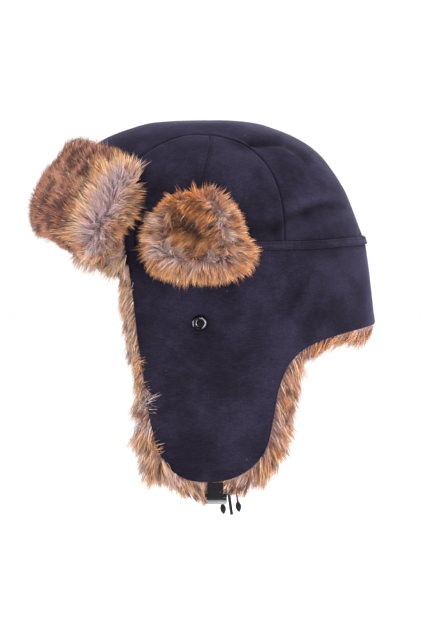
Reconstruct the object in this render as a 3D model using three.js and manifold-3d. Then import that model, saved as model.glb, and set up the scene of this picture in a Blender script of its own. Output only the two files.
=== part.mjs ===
// An aviator hat in dark suede cloth: a panelled crown, a turned-up fur peak, two turned-up fur ear vents,
// fur-lined ear flaps with a neck guard, press studs, and webbing tabs with the two halves of a chin buckle.
// Millimetres, +Z up. The face looks along -Y and +X is the wearer's left.
// The origin is the highest point inside the crown, where the hat rests on a head.
import * as THREE from "three";
import { mergeVertices } from "three/addons/utils/BufferGeometryUtils.js";
import Module from "manifold-3d";

const wasm = await Module();
wasm.setup();

// The head form. The band line is height 0 until the last line, and turn is an angle round the hat:
// -90 degrees at the brow, 0 at the left ear and 90 at the nape.
const crownHeight = 94;
const crownFront = 119;
const crownBack = 127.5;
const crownHalfWidth = 98;
const flapDrop = 191;
const sectionRoundness = 2.3;

// Cloth
const crownCloth = 2.4;
const flapCloth = 2;
const clearance = 0.35;
const bandHeight = 4.6;
const bandProud = 1.2;
const sidePuff = 2.6;
const centrePuff = 2.2;
const seamReach = 0.28; // share of a panel over which it rises from its seam

// The arched seam round each side panel, in the side view
const seamCentre = -15;
const seamFrontHalf = 81;
const seamRearHalf = 73;
const seamHeight = 84;
const seamFrontRoundness = 1.6;
const seamRearRoundness = 2.5;
const uprightSeamAt = 0.12; // share of the half length behind the arch's centre
const seamGapShare = 0.003;

// The brow and the turned-up peak
const browRise = 16;
const peakHalfTurn = 64;
const peakTopAtBrow = 66;
const peakTopAtEnd = 58;
const peakLowAtEnd = -16;
const peakCloth = 1.8;
const peakLean = 3;
const peakFur = 25;
const peakFurHang = 14;

// The turned-up ear vents
const ventForward = 8;
const ventRise = 4;
const ventHalfLength = 37;
const ventHalfHeight = 30;
const ventTaper = 0.16;
const ventCloth = 1.5;
const ventFur = 13;

// The fur lining of the flaps
const liningFur = 8;
const tuftRelief = 2.4;

// Locks of fur along the free edges
const lockLength = 19;
const lockWidth = 17;
const lockThickness = 7;
const edgeLocks = 64;
const edgeFur = 7;

// The press studs
const studForward = 8;
const studDrop = 64;
const studRadius = 6.2;
const studHeight = 2.6;

// The webbing tabs
const webbingWidth = 12.5;
const webbingThickness = 1.4;
const leftTabLength = 10.5;
const leftTabBehind = 4;
const rightTabLength = 23;
const rightTabBehind = 11;
const rightTabSwing = 8;

// The chin buckle
const barRadius = 1.2;
const buckleWidth = 18.5;
const buckleThickness = 5.2;
const socketLength = 15.5;
const socketTilt = 68;
const plateLength = 11;
const prongLength = 18;
const prongThickness = 2.4;
const guideWidth = 2.8;
const barbWidth = 5.2;
const barbLength = 11;
const barbSpread = 6.8;

const degrees = Math.PI / 180;
const panelFoot = bandHeight / 2 + clearance;
const topOfCloth = Math.max(sidePuff, centrePuff, bandProud);
const laidOn = topOfCloth + clearance;

// Reaches of the crown, as shares of its front, back and side at the band
const crownSections = [
  { rise: 1.0, front: 0.0, back: 0.0, side: 0.0 },
  { rise: 0.98, front: 0.37, back: 0.262, side: 0.3 },
  { rise: 0.93, front: 0.54, back: 0.396, side: 0.5 },
  { rise: 0.83, front: 0.735, back: 0.572, side: 0.69 },
  { rise: 0.725, front: 0.84, back: 0.677, side: 0.795 },
  { rise: 0.575, front: 0.92, back: 0.769, side: 0.88 },
  { rise: 0.42, front: 0.965, back: 0.844, side: 0.935 },
  { rise: 0.27, front: 0.985, back: 0.902, side: 0.97 },
  { rise: 0.12, front: 0.997, back: 0.955, side: 0.99 },
  { rise: 0.0, front: 1.0, back: 1.0, side: 1.0 },
].map((row) => ({ ...row, fall: Math.sqrt(1 - row.rise) }));

// The same below the band, where the nape flares and the flaps hang inwards
const flapSections = [
  { drop: 0.0, front: 1.0, back: 1.0, side: 1.0 },
  { drop: 0.18, front: 1.0, back: 1.035, side: 0.995 },
  { drop: 0.37, front: 0.985, back: 1.067, side: 0.98 },
  { drop: 0.6, front: 0.965, back: 1.08, side: 0.945 },
  { drop: 0.8, front: 0.95, back: 1.08, side: 0.905 },
  { drop: 1.3, front: 0.94, back: 1.07, side: 0.78 },
];

// The flap shell's lower edge from the brow to the nape: its turn and drop, and the turn above it at the band
const flapEdge = [
  { name: "brow", turn: -50, drop: 0.035, above: -50 },
  { name: "temple", turn: -34, drop: 0.08, above: -41 },
  { name: "cheek front", turn: -28.5, drop: 0.12, above: -36 },
  { name: "front edge top", turn: -27.4, drop: 0.22, above: -32 },
  { name: "front edge", turn: -26.4, drop: 0.38, above: -28.5 },
  { name: "front edge low", turn: -24.2, drop: 0.56, above: -24.5 },
  { name: "front edge foot", turn: -22, drop: 0.73, above: -20 },
  { name: "chin front", turn: -18.6, drop: 0.87, above: -15.5 },
  { name: "chin front low", turn: -12.5, drop: 0.96, above: -10.5 },
  { name: "flap end front", turn: -4.5, drop: 1.0, above: -4.5 },
  { name: "flap end rear", turn: 4, drop: 0.994, above: 2.5 },
  { name: "chin rear low", turn: 11, drop: 0.943, above: 9 },
  { name: "chin rear", turn: 15.8, drop: 0.86, above: 15 },
  { name: "rear edge foot", turn: 18.2, drop: 0.73, above: 20.5 },
  { name: "rear edge", turn: 20, drop: 0.61, above: 26 },
  { name: "rear edge turn", turn: 24.5, drop: 0.5, above: 33 },
  { name: "neck side", turn: 33.5, drop: 0.43, above: 43 },
  { name: "neck", turn: 50, drop: 0.39, above: 57 },
  { name: "neck rear", turn: 70, drop: 0.373, above: 73 },
  { name: "nape", turn: 90, drop: 0.37, above: 90 },
];

// The fur's depth over the peak from its lower edge to its top, as a share of peakFur
const peakProfile = [
  { up: 0.0, depth: 0.42 },
  { up: 0.1, depth: 0.8 },
  { up: 0.25, depth: 1.02 },
  { up: 0.4, depth: 0.98 },
  { up: 0.55, depth: 0.78 },
  { up: 0.7, depth: 0.57 },
  { up: 0.85, depth: 0.36 },
  { up: 1.0, depth: 0.3 },
];

// Dents and folds in the side view: both ends as shares of crownBack and crownHeight, the height of the relief
// as a share of sidePuff, and its half width as a share of crownHeight
const folds = [
  { name: "dent behind the top", y0: 0.18, z0: 0.8, y1: 0.52, z1: 0.82, relief: -1.3, spread: 0.09 },
  { name: "roll over the nape", y0: 0.4, z0: 0.12, y1: 0.62, z1: 0.22, relief: -1.2, spread: 0.08 },
  { name: "roll over the nape, rear", y0: 0.62, z0: 0.22, y1: 0.86, z1: 0.26, relief: -1.1, spread: 0.08 },
  { name: "swell over the band", y0: 0.58, z0: 0.1, y1: 0.9, z1: 0.13, relief: 0.7, spread: 0.08 },
  { name: "tuck over the band", y0: 0.2, z0: 0.08, y1: 0.42, z1: 0.06, relief: -0.9, spread: 0.07 },
  { name: "turn of the neck guard", y0: 0.6, z0: -0.34, y1: 0.48, z1: -0.76, relief: 0.9, spread: 0.09 },
  { name: "hollow behind the turn", y0: 0.7, z0: -0.4, y1: 0.6, z1: -0.74, relief: -0.9, spread: 0.08 },
];

// Every column of a table at one value of its key, on a smooth curve through the rows.
function readTable(rows, key, at) {
  const last = rows.length - 1;
  let i = 0;
  while (i < last - 1 && at > rows[i + 1][key]) i++;
  const from = rows[i];
  const to = rows[i + 1];
  const span = to[key] - from[key];
  const t = (at - from[key]) / span;
  const slope = (k, column) => {
    const before = rows[Math.max(k - 1, 0)];
    const after = rows[Math.min(k + 1, last)];
    return ((after[column] - before[column]) / (after[key] - before[key])) * span;
  };
  const found = {};
  for (const column of Object.keys(from)) {
    if (column === "name") continue;
    const a = from[column];
    const b = to[column];
    const sa = slope(i, column);
    const sb = slope(i + 1, column);
    const curve = (2 * a - 2 * b + sa + sb) * t ** 3 + (3 * b - 3 * a - 2 * sa - sb) * t ** 2;
    found[column] = curve + sa * t + a;
  }
  return found;
}

// How far the hat reaches forwards, backwards and sideways at a height.
function reachAt(z) {
  const row =
    z >= 0
      ? readTable(crownSections, "fall", Math.sqrt(Math.max(1 - z / crownHeight, 0)))
      : readTable(flapSections, "drop", -z / flapDrop);
  return { front: row.front * crownFront, back: row.back * crownBack, side: row.side * crownHalfWidth };
}

// The point of the head form at a turn in degrees and a height.
function pointAt(turn, z) {
  const reach = reachAt(z);
  const power = (value) => Math.sign(value) * Math.abs(value) ** (2 / sectionRoundness);
  const along = power(Math.sin(turn * degrees));
  const across = power(Math.cos(turn * degrees));
  return new THREE.Vector3(across * reach.side, along * (along > 0 ? reach.back : reach.front), z);
}

// The turn at which the head form has a given y at a height.
function turnOf(y, z) {
  const reach = reachAt(z);
  const share = Math.min(Math.abs(y) / (y > 0 ? reach.back : reach.front), 1);
  return (Math.sign(y) * Math.asin(share ** (sectionRoundness / 2))) / degrees;
}

// Below 1 inside the head form, above 1 outside it.
function fullness(x, y, z) {
  if (z >= crownHeight) return 2;
  const reach = reachAt(z);
  const n = sectionRoundness;
  return (Math.abs(x) / reach.side) ** n + (Math.abs(y) / (y > 0 ? reach.back : reach.front)) ** n;
}

// The share of the way from inside to outside at which a path leaves the head form.
function leavesAt(path, most) {
  let low = 0;
  let high = most;
  for (let k = 0; k < 42; k++) {
    const middle = (low + high) / 2;
    const p = path(middle);
    if (fullness(p.x, p.y, p.z) < 1) low = middle;
    else high = middle;
  }
  return (low + high) / 2;
}

const smooth = (t) => {
  const c = Math.min(Math.max(t, 0), 1);
  return c * c * (3 - 2 * c);
};

// The summed relief of the folds at a point, in millimetres.
function foldRelief(point) {
  let sum = 0;
  for (const fold of folds) {
    const y0 = fold.y0 * crownBack;
    const z0 = fold.z0 * crownHeight;
    const dy = fold.y1 * crownBack - y0;
    const dz = fold.z1 * crownHeight - z0;
    const along = ((point.y - y0) * dy + (point.z - z0) * dz) / (dy * dy + dz * dz);
    const t = Math.min(Math.max(along, 0), 1);
    const away = Math.hypot(point.y - y0 - t * dy, point.z - z0 - t * dz);
    sum += fold.relief * sidePuff * Math.exp(-((away / (fold.spread * crownHeight)) ** 2));
  }
  return sum;
}

// A geometry's mesh with only merged positions, as a solid for cutting and joining.
function solidOf(geometry) {
  const bare = geometry.index ? geometry.toNonIndexed() : geometry.clone();
  bare.deleteAttribute("normal");
  bare.deleteAttribute("uv");
  const merged = mergeVertices(bare, 1e-4);
  return new wasm.Manifold(
    new wasm.Mesh({
      numProp: 3,
      vertProperties: merged.attributes.position.array,
      triVerts: new Uint32Array(merged.index.array),
    }),
  );
}

function geometryOf(solid) {
  const mesh = solid.getMesh();
  const positions = new Float32Array(mesh.numVert * 3);
  for (let i = 0; i < mesh.numVert; i++)
    positions.set(mesh.vertProperties.subarray(i * mesh.numProp, i * mesh.numProp + 3), i * 3);
  return new THREE.BufferGeometry()
    .setAttribute("position", new THREE.BufferAttribute(positions, 3))
    .setIndex(new THREE.BufferAttribute(mesh.triVerts, 1));
}

// One solid from several, without the slivers that cutting them leaves.
const join = (solids) => solids.reduce((whole, solid) => whole.add(solid)).simplify(0.02);

// The direction away from the head form at a point on it.
function outwardAt(point) {
  const step = 0.4;
  const slope = (x, y, z) => {
    return fullness(point.x + x, point.y + y, point.z + z) - fullness(point.x - x, point.y - y, point.z - z);
  };
  return new THREE.Vector3(slope(step, 0, 0), slope(0, step, 0), slope(0, 0, step)).normalize();
}

// A closed sheet of cloth or fur over a grid: its two faces, and the rim that joins them.
// place(u, v) is its seat on the head form; outside and inside are how far each face stands off that seat.
function sheet({ columns, rows, place, outside, inside }) {
  const positions = [];
  const triangles = [];
  const faceSize = (columns + 1) * (rows + 1);
  for (const standOff of [outside, inside])
    for (let j = 0; j <= rows; j++)
      for (let i = 0; i <= columns; i++) {
        const u = i / columns;
        const v = j / rows;
        const seat = place(u, v);
        const distance = standOff(u, v, seat, (i + j) % 2);
        positions.push(...seat.addScaledVector(outwardAt(seat), distance));
      }
  const at = (i, j) => j * (columns + 1) + i;
  const quad = (a, b, c, d) => triangles.push(a, b, c, a, c, d);
  for (let j = 0; j < rows; j++)
    for (let i = 0; i < columns; i++) {
      const [a, b, c, d] = [at(i, j), at(i + 1, j), at(i + 1, j + 1), at(i, j + 1)];
      quad(a, b, c, d);
      quad(a + faceSize, d + faceSize, c + faceSize, b + faceSize);
    }
  const rim = [];
  for (let i = 0; i < columns; i++) rim.push(at(i, 0));
  for (let j = 0; j < rows; j++) rim.push(at(columns, j));
  for (let i = columns; i > 0; i--) rim.push(at(i, rows));
  for (let j = rows; j > 0; j--) rim.push(at(0, j));
  rim.forEach((a, k) => {
    const b = rim[(k + 1) % rim.length];
    quad(b, a, a + faceSize, b + faceSize);
  });
  const geometry = new THREE.BufferGeometry()
    .setAttribute("position", new THREE.Float32BufferAttribute(positions, 3))
    .setIndex(triangles);
  return facingOut(geometry);
}

// The same geometry, turned so that its faces point outwards.
function facingOut(geometry) {
  const p = geometry.attributes.position;
  const index = geometry.index.array;
  const [a, b, c] = [0, 1, 2].map(() => new THREE.Vector3());
  let volume = 0;
  for (let k = 0; k < index.length; k += 3) {
    a.fromBufferAttribute(p, index[k]);
    b.fromBufferAttribute(p, index[k + 1]);
    c.fromBufferAttribute(p, index[k + 2]);
    volume += a.dot(b.cross(c));
  }
  if (volume < 0)
    for (let k = 0; k < index.length; k += 3) [index[k + 1], index[k + 2]] = [index[k + 2], index[k + 1]];
  return geometry;
}

// One lock of fur: a flat cone that starts wide at its root, droops and ends in a point.
function lock({ root, along, outward, length, lean }) {
  const cone = new THREE.ConeGeometry(lockWidth / 2, length, 4, 2);
  cone.translate(0, length / 2 - length * 0.22, 0);
  const side = new THREE.Vector3().crossVectors(along, outward).normalize();
  const away = new THREE.Vector3().crossVectors(side, along).normalize();
  const p = cone.attributes.position;
  for (let k = 0; k < p.count; k++) {
    const reach = p.getY(k);
    const rise = (p.getZ(k) * lockThickness) / lockWidth + lean * (Math.max(reach, 0) / length) ** 2 * length;
    const moved = root.clone().addScaledVector(along, reach);
    moved.addScaledVector(side, p.getX(k)).addScaledVector(away, rise);
    p.setXYZ(k, moved.x, moved.y, moved.z);
  }
  return solidOf(cone);
}

// Locks along one edge of a fur sheet, pointing off that edge. edge(t) gives the sheet's (u, v) there.
function locksAlong({ place, edge, depth, count, length, lean, skip = () => false }) {
  const made = [];
  for (let k = 0; k < count; k++) {
    const t = (k + 0.5) / count;
    if (skip(t)) continue;
    const { u, v, inU, inV } = edge(t);
    const here = place(u, v);
    const outward = outwardAt(here);
    const along = here.clone().sub(place(u + inU, v + inV)).normalize();
    const wave = 1 + 0.2 * Math.sin(k * 2.4);
    const root = here.addScaledVector(outward, depth);
    made.push(lock({ root, along, outward, length: length * wave, lean: lean * wave }));
  }
  return made;
}

const colours = { suede: 0x2f2a3a, fur: 0xb07a4e, plastic: 0x17161c, webbing: 0x1b1a20, metal: 0x1c1b20 };
const suede = new THREE.MeshStandardMaterial({ color: colours.suede, roughness: 0.95, metalness: 0 });
const fur = new THREE.MeshStandardMaterial({ color: colours.fur, roughness: 0.9, metalness: 0 });
const plastic = new THREE.MeshStandardMaterial({ color: colours.plastic, roughness: 0.3, metalness: 0 });
const webbing = new THREE.MeshStandardMaterial({ color: colours.webbing, roughness: 0.8, metalness: 0 });
const metal = new THREE.MeshStandardMaterial({ color: colours.metal, roughness: 0.25, metalness: 0.8 });

function piece(name, geometry, material) {
  const mesh = new THREE.Mesh(geometry, material);
  mesh.name = name;
  return mesh;
}

// A geometry reflected to the wearer's right.
function toRight(geometry) {
  return facingOut(mergeVertices(geometry.clone().scale(-1, 1, 1), 1e-4));
}

// A point inside the arched seam in the side view, at a share of the way out to a boundary set in by a gap.
function archPoint(angle, share, gap) {
  const forward = Math.cos(angle) < 0;
  const power = 2 / (forward ? seamFrontRoundness : seamRearRoundness);
  const half = (forward ? seamFrontHalf : seamRearHalf) - gap;
  const rise = seamHeight - panelFoot - gap;
  return {
    y: seamCentre + half * Math.sign(Math.cos(angle)) * Math.abs(Math.cos(angle)) ** power * share,
    z: panelFoot + rise * Math.sin(angle) ** power * share,
  };
}

// The crown's outside where the side view shows (y, z), on the left.
function onSide(y, z) {
  const reach = reachAt(z);
  const n = sectionRoundness;
  const share = 1 - (Math.abs(y) / (y > 0 ? reach.back : reach.front)) ** n;
  return new THREE.Vector3(reach.side * share ** (1 / n), y, z);
}

// A side panel is a grid of (across, up) that bends to fill its half of the arch. Its columns run between two
// shares of the arch's half length.
const panelSpans = {
  front: { from: -1, to: uprightSeamAt - seamGapShare },
  rear: { from: uprightSeamAt + seamGapShare, to: 1 },
};
const panelColumns = 7;
const panelRows = 6;

function bend(across, up) {
  const along = across * Math.sqrt(1 - up ** 2 / 2);
  const rise = up * Math.sqrt(1 - across ** 2 / 2);
  return { angle: Math.atan2(rise, along), share: Math.hypot(along, rise) };
}

// The arch's angles at the grid points of both panels, from the front foot to the rear foot.
const archAngles = [];
for (let j = 0; j < panelRows; j++) archAngles.push(bend(-1, j / panelRows).angle);
for (const { from, to } of Object.values(panelSpans))
  for (let i = 0; i <= panelColumns; i++) archAngles.push(bend(from + ((to - from) * i) / panelColumns, 1).angle);
for (let j = panelRows - 1; j >= 0; j--) archAngles.push(bend(1, j / panelRows).angle);

function sidePanel({ from, to }) {
  const acrossAt = (u) => from + (to - from) * u;
  const place = (u, v) => {
    const { angle, share } = bend(acrossAt(u), v);
    const spot = archPoint(angle, share, clearance);
    return onSide(spot.y, spot.z);
  };
  const puff = (u, v) => {
    const toUpright = Math.abs(acrossAt(u) - uprightSeamAt) / seamReach;
    const toArch = (1 - Math.max(Math.abs(acrossAt(u)), v)) / seamReach;
    return sidePuff * smooth(toArch) * smooth(v / seamReach + 0.15) * (0.55 + 0.45 * smooth(toUpright));
  };
  const outside = (u, v, seat) => puff(u, v) + foldRelief(seat) * smooth((1 - Math.max(Math.abs(acrossAt(u)), v)) * 8);
  return sheet({
    columns: panelColumns,
    rows: panelRows,
    place,
    outside,
    inside: (u, v, seat) => outside(u, v, seat) - crownCloth,
  });
}

// The middle strip of the crown: u runs from the brow to the nape, v from the left seam to the right one.
function centrePanel() {
  const browAngle = Math.PI - Math.atan2(browRise, crownFront + seamCentre);
  const napeAngle = Math.atan2(panelFoot, crownBack - seamCentre);
  const columns = archAngles.length - 1;
  const place = (u, v) => {
    const seam = archPoint(archAngles[Math.round(u * columns)], 1, 0);
    const seamX = onSide(seam.y, seam.z).x;
    const angle = Math.atan2(seam.z - panelFoot, seam.y - seamCentre);
    const share = angle / Math.PI;
    const turned = angle + (browAngle - Math.PI) * share + napeAngle * (1 - share);
    const ray = (r) => new THREE.Vector3(0, seamCentre + r * Math.cos(turned), r * Math.sin(turned));
    const ridge = ray(leavesAt(ray, crownFront + crownBack));
    const swing = (1 - v * 2) * (Math.PI / 2);
    const path = (r) => {
      const up = r * Math.cos(swing);
      const x = r * Math.sin(swing) * seamX;
      return new THREE.Vector3(x, seam.y + (ridge.y - seam.y) * up, seam.z + (ridge.z - seam.z) * up);
    };
    return path(leavesAt(path, 2));
  };
  const puff = (u, v) => {
    const toSeam = Math.min(v, 1 - v) / seamReach;
    const toFoot = Math.min(u, 1 - u) / seamReach;
    return centrePuff * smooth(toSeam) * smooth(toFoot * 3);
  };
  const outside = (u, v, seat) => puff(u, v) + foldRelief(seat) * smooth(Math.min(v, 1 - v) * 12);
  return sheet({
    columns,
    rows: 10,
    place,
    outside,
    inside: (u, v, seat) => outside(u, v, seat) - crownCloth,
  });
}

const browTurn = flapEdge[0].turn;

function seamBand() {
  const span = 180 - 2 * browTurn;
  const place = (u, v) => pointAt(browTurn + span * u, bandHeight * (v - 0.5));
  return sheet({ columns: 40, rows: 1, place, outside: () => bandProud, inside: () => -crownCloth });
}

// The flap sheet's seat: u runs along the lower edge from the left brow round the nape to the right brow,
// v from the band down to the edge, and top is the height that v starts at.
function flapPlace(top) {
  return (u, v) => {
    const along = u <= 0.5 ? u * 2 : (1 - u) * 2;
    const row = readTable(flapEdgeRows, "at", along);
    const turn = row.above + (row.turn - row.above) * v;
    const z = top + (-row.drop * flapDrop - top) * v;
    const point = pointAt(turn, z);
    return u <= 0.5 ? point : point.multiply(new THREE.Vector3(-1, 1, 1));
  };
}
const flapColumns = 54;
const flapRows = 5;
const flapEdgeRows = flapEdge.map((row, k) => ({ ...row, at: k / (flapEdge.length - 1) }));

const flapRelief = (v, seat) => foldRelief(seat) * smooth(v * 4);

function flapShell() {
  return sheet({
    columns: flapColumns,
    rows: flapRows,
    place: flapPlace(-panelFoot),
    outside: (u, v, seat) => flapRelief(v, seat),
    inside: (u, v, seat) => flapRelief(v, seat) - flapCloth,
  });
}

// The share of the lower edge at which the left flap's edge has a given y.
function edgeShareAt(y) {
  const place = flapPlace(-panelFoot);
  let best = 0;
  for (let k = 0; k <= 400; k++) {
    const share = 0.17 + (0.12 * k) / 400;
    if (Math.abs(place(share, 1).y - y) < Math.abs(place(best, 1).y - y)) best = share;
  }
  return best;
}

function flapFur() {
  const place = flapPlace(-panelFoot);
  const seatDepth = flapCloth + clearance;
  const offEdge = (u) => {
    const ahead = place(Math.min(u + 0.01, 1), 1).sub(place(Math.max(u - 0.01, 0), 1));
    return ahead.cross(outwardAt(place(u, 1))).normalize();
  };
  const rows = flapRows + 1;
  const onShell = (v) => Math.min((v * rows) / flapRows, 1);
  const outside = (u, v, seat) => flapRelief(onShell(v), seat) - seatDepth;
  const body = sheet({
    columns: flapColumns,
    rows,
    place: (u, v) => place(u, onShell(v)).addScaledVector(offEdge(u), v === 1 ? edgeFur : 0),
    outside,
    inside: (u, v, seat, odd) => outside(u, v, seat) - liningFur - odd * tuftRelief,
  });
  const locks = [];
  for (let k = 0; k < edgeLocks; k++) {
    const u = 0.02 + (0.96 * (k + 0.5)) / edgeLocks;
    const along = offEdge(u);
    const root = place(u, 1).addScaledVector(along, edgeFur * 0.4);
    const outward = outwardAt(root);
    const tab = root.x > 0 ? leftTabBehind : rightTabBehind;
    const short = Math.abs(root.y - tab) < webbingWidth && root.z < -flapDrop * 0.9;
    const length = lockLength * (1 + 0.2 * Math.sin(k * 2.4)) * (short ? 0.55 : 1);
    root.addScaledVector(outward, flapRelief(1, root) - seatDepth - lockThickness * 0.75);
    locks.push(lock({ root, along, outward: outward.negate(), length, lean: 0.1 }));
  }
  return geometryOf(join([solidOf(body), ...locks]));
}

// The peak's seat: u runs from the wearer's right to the left, v from the brow fold to the top edge.
function peakPlace(hang) {
  return (u, v) => {
    const side = u * 2 - 1;
    const away = Math.abs(side);
    const low = browRise + (peakLowAtEnd - browRise) * away ** 1.6 - hang;
    const high = peakTopAtBrow + (peakTopAtEnd - peakTopAtBrow) * away ** 2;
    const middle = (low + high) / 2;
    const half = ((high - low) / 2) * (1 - 0.2 * away ** 8);
    return pointAt(-90 + side * peakHalfTurn, middle + half * (v * 2 - 1));
  };
}

function peakShell() {
  const lean = (v) => laidOn + peakLean * v * v;
  return sheet({
    columns: 22,
    rows: 3,
    place: peakPlace(0),
    outside: (u, v) => lean(v) + peakCloth,
    inside: (u, v) => lean(v),
  });
}

function peakFurBody() {
  const place = peakPlace(peakFurHang);
  const seat = (v) => laidOn + peakLean * v * v + peakCloth + clearance;
  const full = (u, v) => smooth(Math.min(u, 1 - u) * 7 + 0.4) * readTable(peakProfile, "up", v).depth;
  const body = sheet({
    columns: 22,
    rows: 5,
    place,
    outside: (u, v, spot, odd) => seat(v) + peakFur * full(u, v) + odd * tuftRelief,
    inside: (u, v) => seat(v),
  });
  const depth = seat(1) + lockThickness * 0.7;
  const rowsOfLocks = [
    { edge: (t) => ({ u: t, v: 0.97, inU: 0, inV: -0.1 }), count: 16, lean: 0.15, length: lockLength },
    { edge: (t) => ({ u: t, v: 0.03, inU: 0, inV: 0.1 }), count: 14, lean: 0.3, length: lockLength * 0.8 },
    { edge: (t) => ({ u: 0.98, v: t, inU: -0.05, inV: 0 }), count: 4, lean: 0.1, length: lockLength * 0.8 },
    { edge: (t) => ({ u: 0.02, v: t, inU: 0.05, inV: 0 }), count: 4, lean: 0.1, length: lockLength * 0.8 },
  ];
  const locks = rowsOfLocks.flatMap((row) => locksAlong({ place, depth, ...row }));
  return geometryOf(join([solidOf(body), ...locks]));
}

// The left vent's seat over a square that maps to a rounded patch, narrower at its top.
function ventPlace(u, v) {
  const a = u * 2 - 1;
  const b = v * 2 - 1;
  const p = a * Math.sqrt(1 - (b * b) / 2.6);
  const q = b * Math.sqrt(1 - (a * a) / 2.6);
  const y = -ventForward + p * ventHalfLength * (1 - ventTaper * q);
  const z = ventRise + q * ventHalfHeight;
  return pointAt(turnOf(y, z), z);
}

function ventShell() {
  return sheet({
    columns: 6,
    rows: 5,
    place: ventPlace,
    outside: () => laidOn + ventCloth,
    inside: () => laidOn,
  });
}

function ventFurBody() {
  const seat = laidOn + ventCloth + clearance;
  const full = (u, v) => smooth(Math.min(u, 1 - u, v, 1 - v) * 3.5 + 0.35);
  const body = sheet({
    columns: 6,
    rows: 5,
    place: ventPlace,
    outside: (u, v, spot, odd) => seat + ventFur * full(u, v) + odd * tuftRelief,
    inside: () => seat,
  });
  const edges = [
    { edge: (t) => ({ u: t, v: 0.95, inU: 0, inV: -0.1 }), count: 5 },
    { edge: (t) => ({ u: t, v: 0.05, inU: 0, inV: 0.1 }), count: 5 },
    { edge: (t) => ({ u: 0.95, v: t, inU: -0.1, inV: 0 }), count: 4 },
    { edge: (t) => ({ u: 0.05, v: t, inU: 0.1, inV: 0 }), count: 4 },
  ];
  const depth = seat + lockThickness * 0.7;
  const locks = edges.flatMap((row) => {
    return locksAlong({ place: ventPlace, depth, length: lockLength * 0.8, lean: 0.1, ...row });
  });
  return geometryOf(join([solidOf(body), ...locks]));
}

// A turned press stud, standing on the flap with its axis square to the cloth.
function stud() {
  const r = studRadius;
  const h = studHeight;
  const profile = [
    [0, 0],
    [r, 0],
    [r, h * 0.3],
    [r * 0.9, h * 0.4],
    [r * 0.85, h * 0.9],
    [r * 0.75, h],
    [r * 0.62, h * 0.9],
    [r * 0.52, h * 0.45],
    [r * 0.3, h * 0.45],
    [r * 0.25, h * 0.8],
    [0, h * 0.9],
  ].map(([radius, height]) => new THREE.Vector2(radius, height));
  const turned = new THREE.LatheGeometry(profile, 14);
  const z = -studDrop;
  const turn = turnOf(-studForward, z);
  const seat = pointAt(turn, z);
  const outward = outwardAt(seat);
  seat.addScaledVector(outward, clearance + Math.max(foldRelief(seat), 0));
  const upright = new THREE.Quaternion().setFromUnitVectors(new THREE.Vector3(0, 1, 0), outward);
  turned.applyQuaternion(upright).translate(seat.x, seat.y, seat.z);
  return geometryOf(solidOf(turned));
}

// A box from its size and the middle of it, in the buckle's own frame: x across the webbing, y down, z outwards.
function block(width, length, thickness, x, y, z = 0) {
  return solidOf(new THREE.BoxGeometry(width, length, thickness).translate(x, y, z));
}

const loopRadius = barRadius + clearance;
const armWidth = (buckleWidth - webbingWidth) / 2 - clearance;
const slotLength = loopRadius + webbingThickness + clearance;

// The bar that the webbing loops round, and the two arms that carry it. The bar is at y 0.
function buckleHead() {
  const bar = new THREE.CylinderGeometry(barRadius, barRadius, buckleWidth - armWidth, 12);
  bar.rotateZ(Math.PI / 2);
  const armLength = slotLength + barRadius + 1;
  const armX = (buckleWidth - armWidth) / 2;
  const arms = [-armX, armX].map((x) => {
    return block(armWidth, armLength, barRadius * 2.4, x, armLength / 2 - barRadius);
  });
  return join([solidOf(bar), ...arms]);
}

// A plate with rounded corners, lying flat, from y 0 down to its length.
function roundedPlate(width, length, thickness, corner) {
  const shape = new THREE.Shape();
  const half = width / 2;
  shape.moveTo(-half, 0);
  shape.lineTo(half, 0);
  shape.lineTo(half, length - corner);
  shape.absarc(half - corner, length - corner, corner, 0, Math.PI / 2, false);
  shape.absarc(-half + corner, length - corner, corner, Math.PI / 2, Math.PI, false);
  const plate = new THREE.ExtrudeGeometry(shape, { depth: thickness, bevelEnabled: false, curveSegments: 4 });
  return solidOf(plate.translate(0, 0, -thickness / 2));
}

// The half that takes the prongs: a flat sleeve open at its foot, with a window each side for the barbs.
function buckleSocket() {
  const wall = (buckleThickness - prongThickness) / 2 - clearance;
  const sleeve = roundedPlate(buckleWidth, socketLength, buckleThickness, 3).translate([0, slotLength, 0]);
  const hollowWidth = buckleWidth - 2 * wall - 1.5;
  const hollowLength = socketLength - 1.5;
  const hollowY = slotLength + socketLength - hollowLength / 2 + 0.5;
  const hollow = block(hollowWidth, hollowLength + 1, buckleThickness - 2 * wall, 0, hollowY);
  const windowLength = barbLength * 0.7;
  const windows = block(buckleWidth + 2, windowLength, buckleThickness - 2 * wall, 0, slotLength + socketLength * 0.45);
  return buckleHead().add(sleeve).subtract(hollow).subtract(windows);
}

// One sprung arm with its leaf-shaped barb.
function barb(x) {
  const leaf = new THREE.Shape();
  const start = prongLength - barbLength;
  leaf.moveTo(0, start);
  leaf.quadraticCurveTo(barbWidth, start + barbLength * 0.45, 0, prongLength - 0.6);
  leaf.quadraticCurveTo(-barbWidth, start + barbLength * 0.45, 0, start);
  const flat = new THREE.ExtrudeGeometry(leaf, { depth: prongThickness, bevelEnabled: false, curveSegments: 5 });
  flat.translate(0, 0, -prongThickness / 2);
  const stem = block(1.8, prongLength * 0.7, prongThickness, 0, prongLength * 0.32);
  return solidOf(flat).add(stem).translate([x, 0, 0]);
}

// The half with a guide between two barbs.
function bucklePlug() {
  const plate = block(buckleWidth, plateLength, buckleThickness * 0.8, 0, slotLength + plateLength / 2);
  const foot = slotLength + plateLength;
  const guide = block(guideWidth, prongLength + 2, prongThickness, 0, prongLength / 2 - 0.5);
  const prongs = join([guide, barb(-barbSpread), barb(barbSpread)]).translate([0, foot - 0.5, 0]);
  return join([buckleHead(), plate, prongs]);
}

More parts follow.
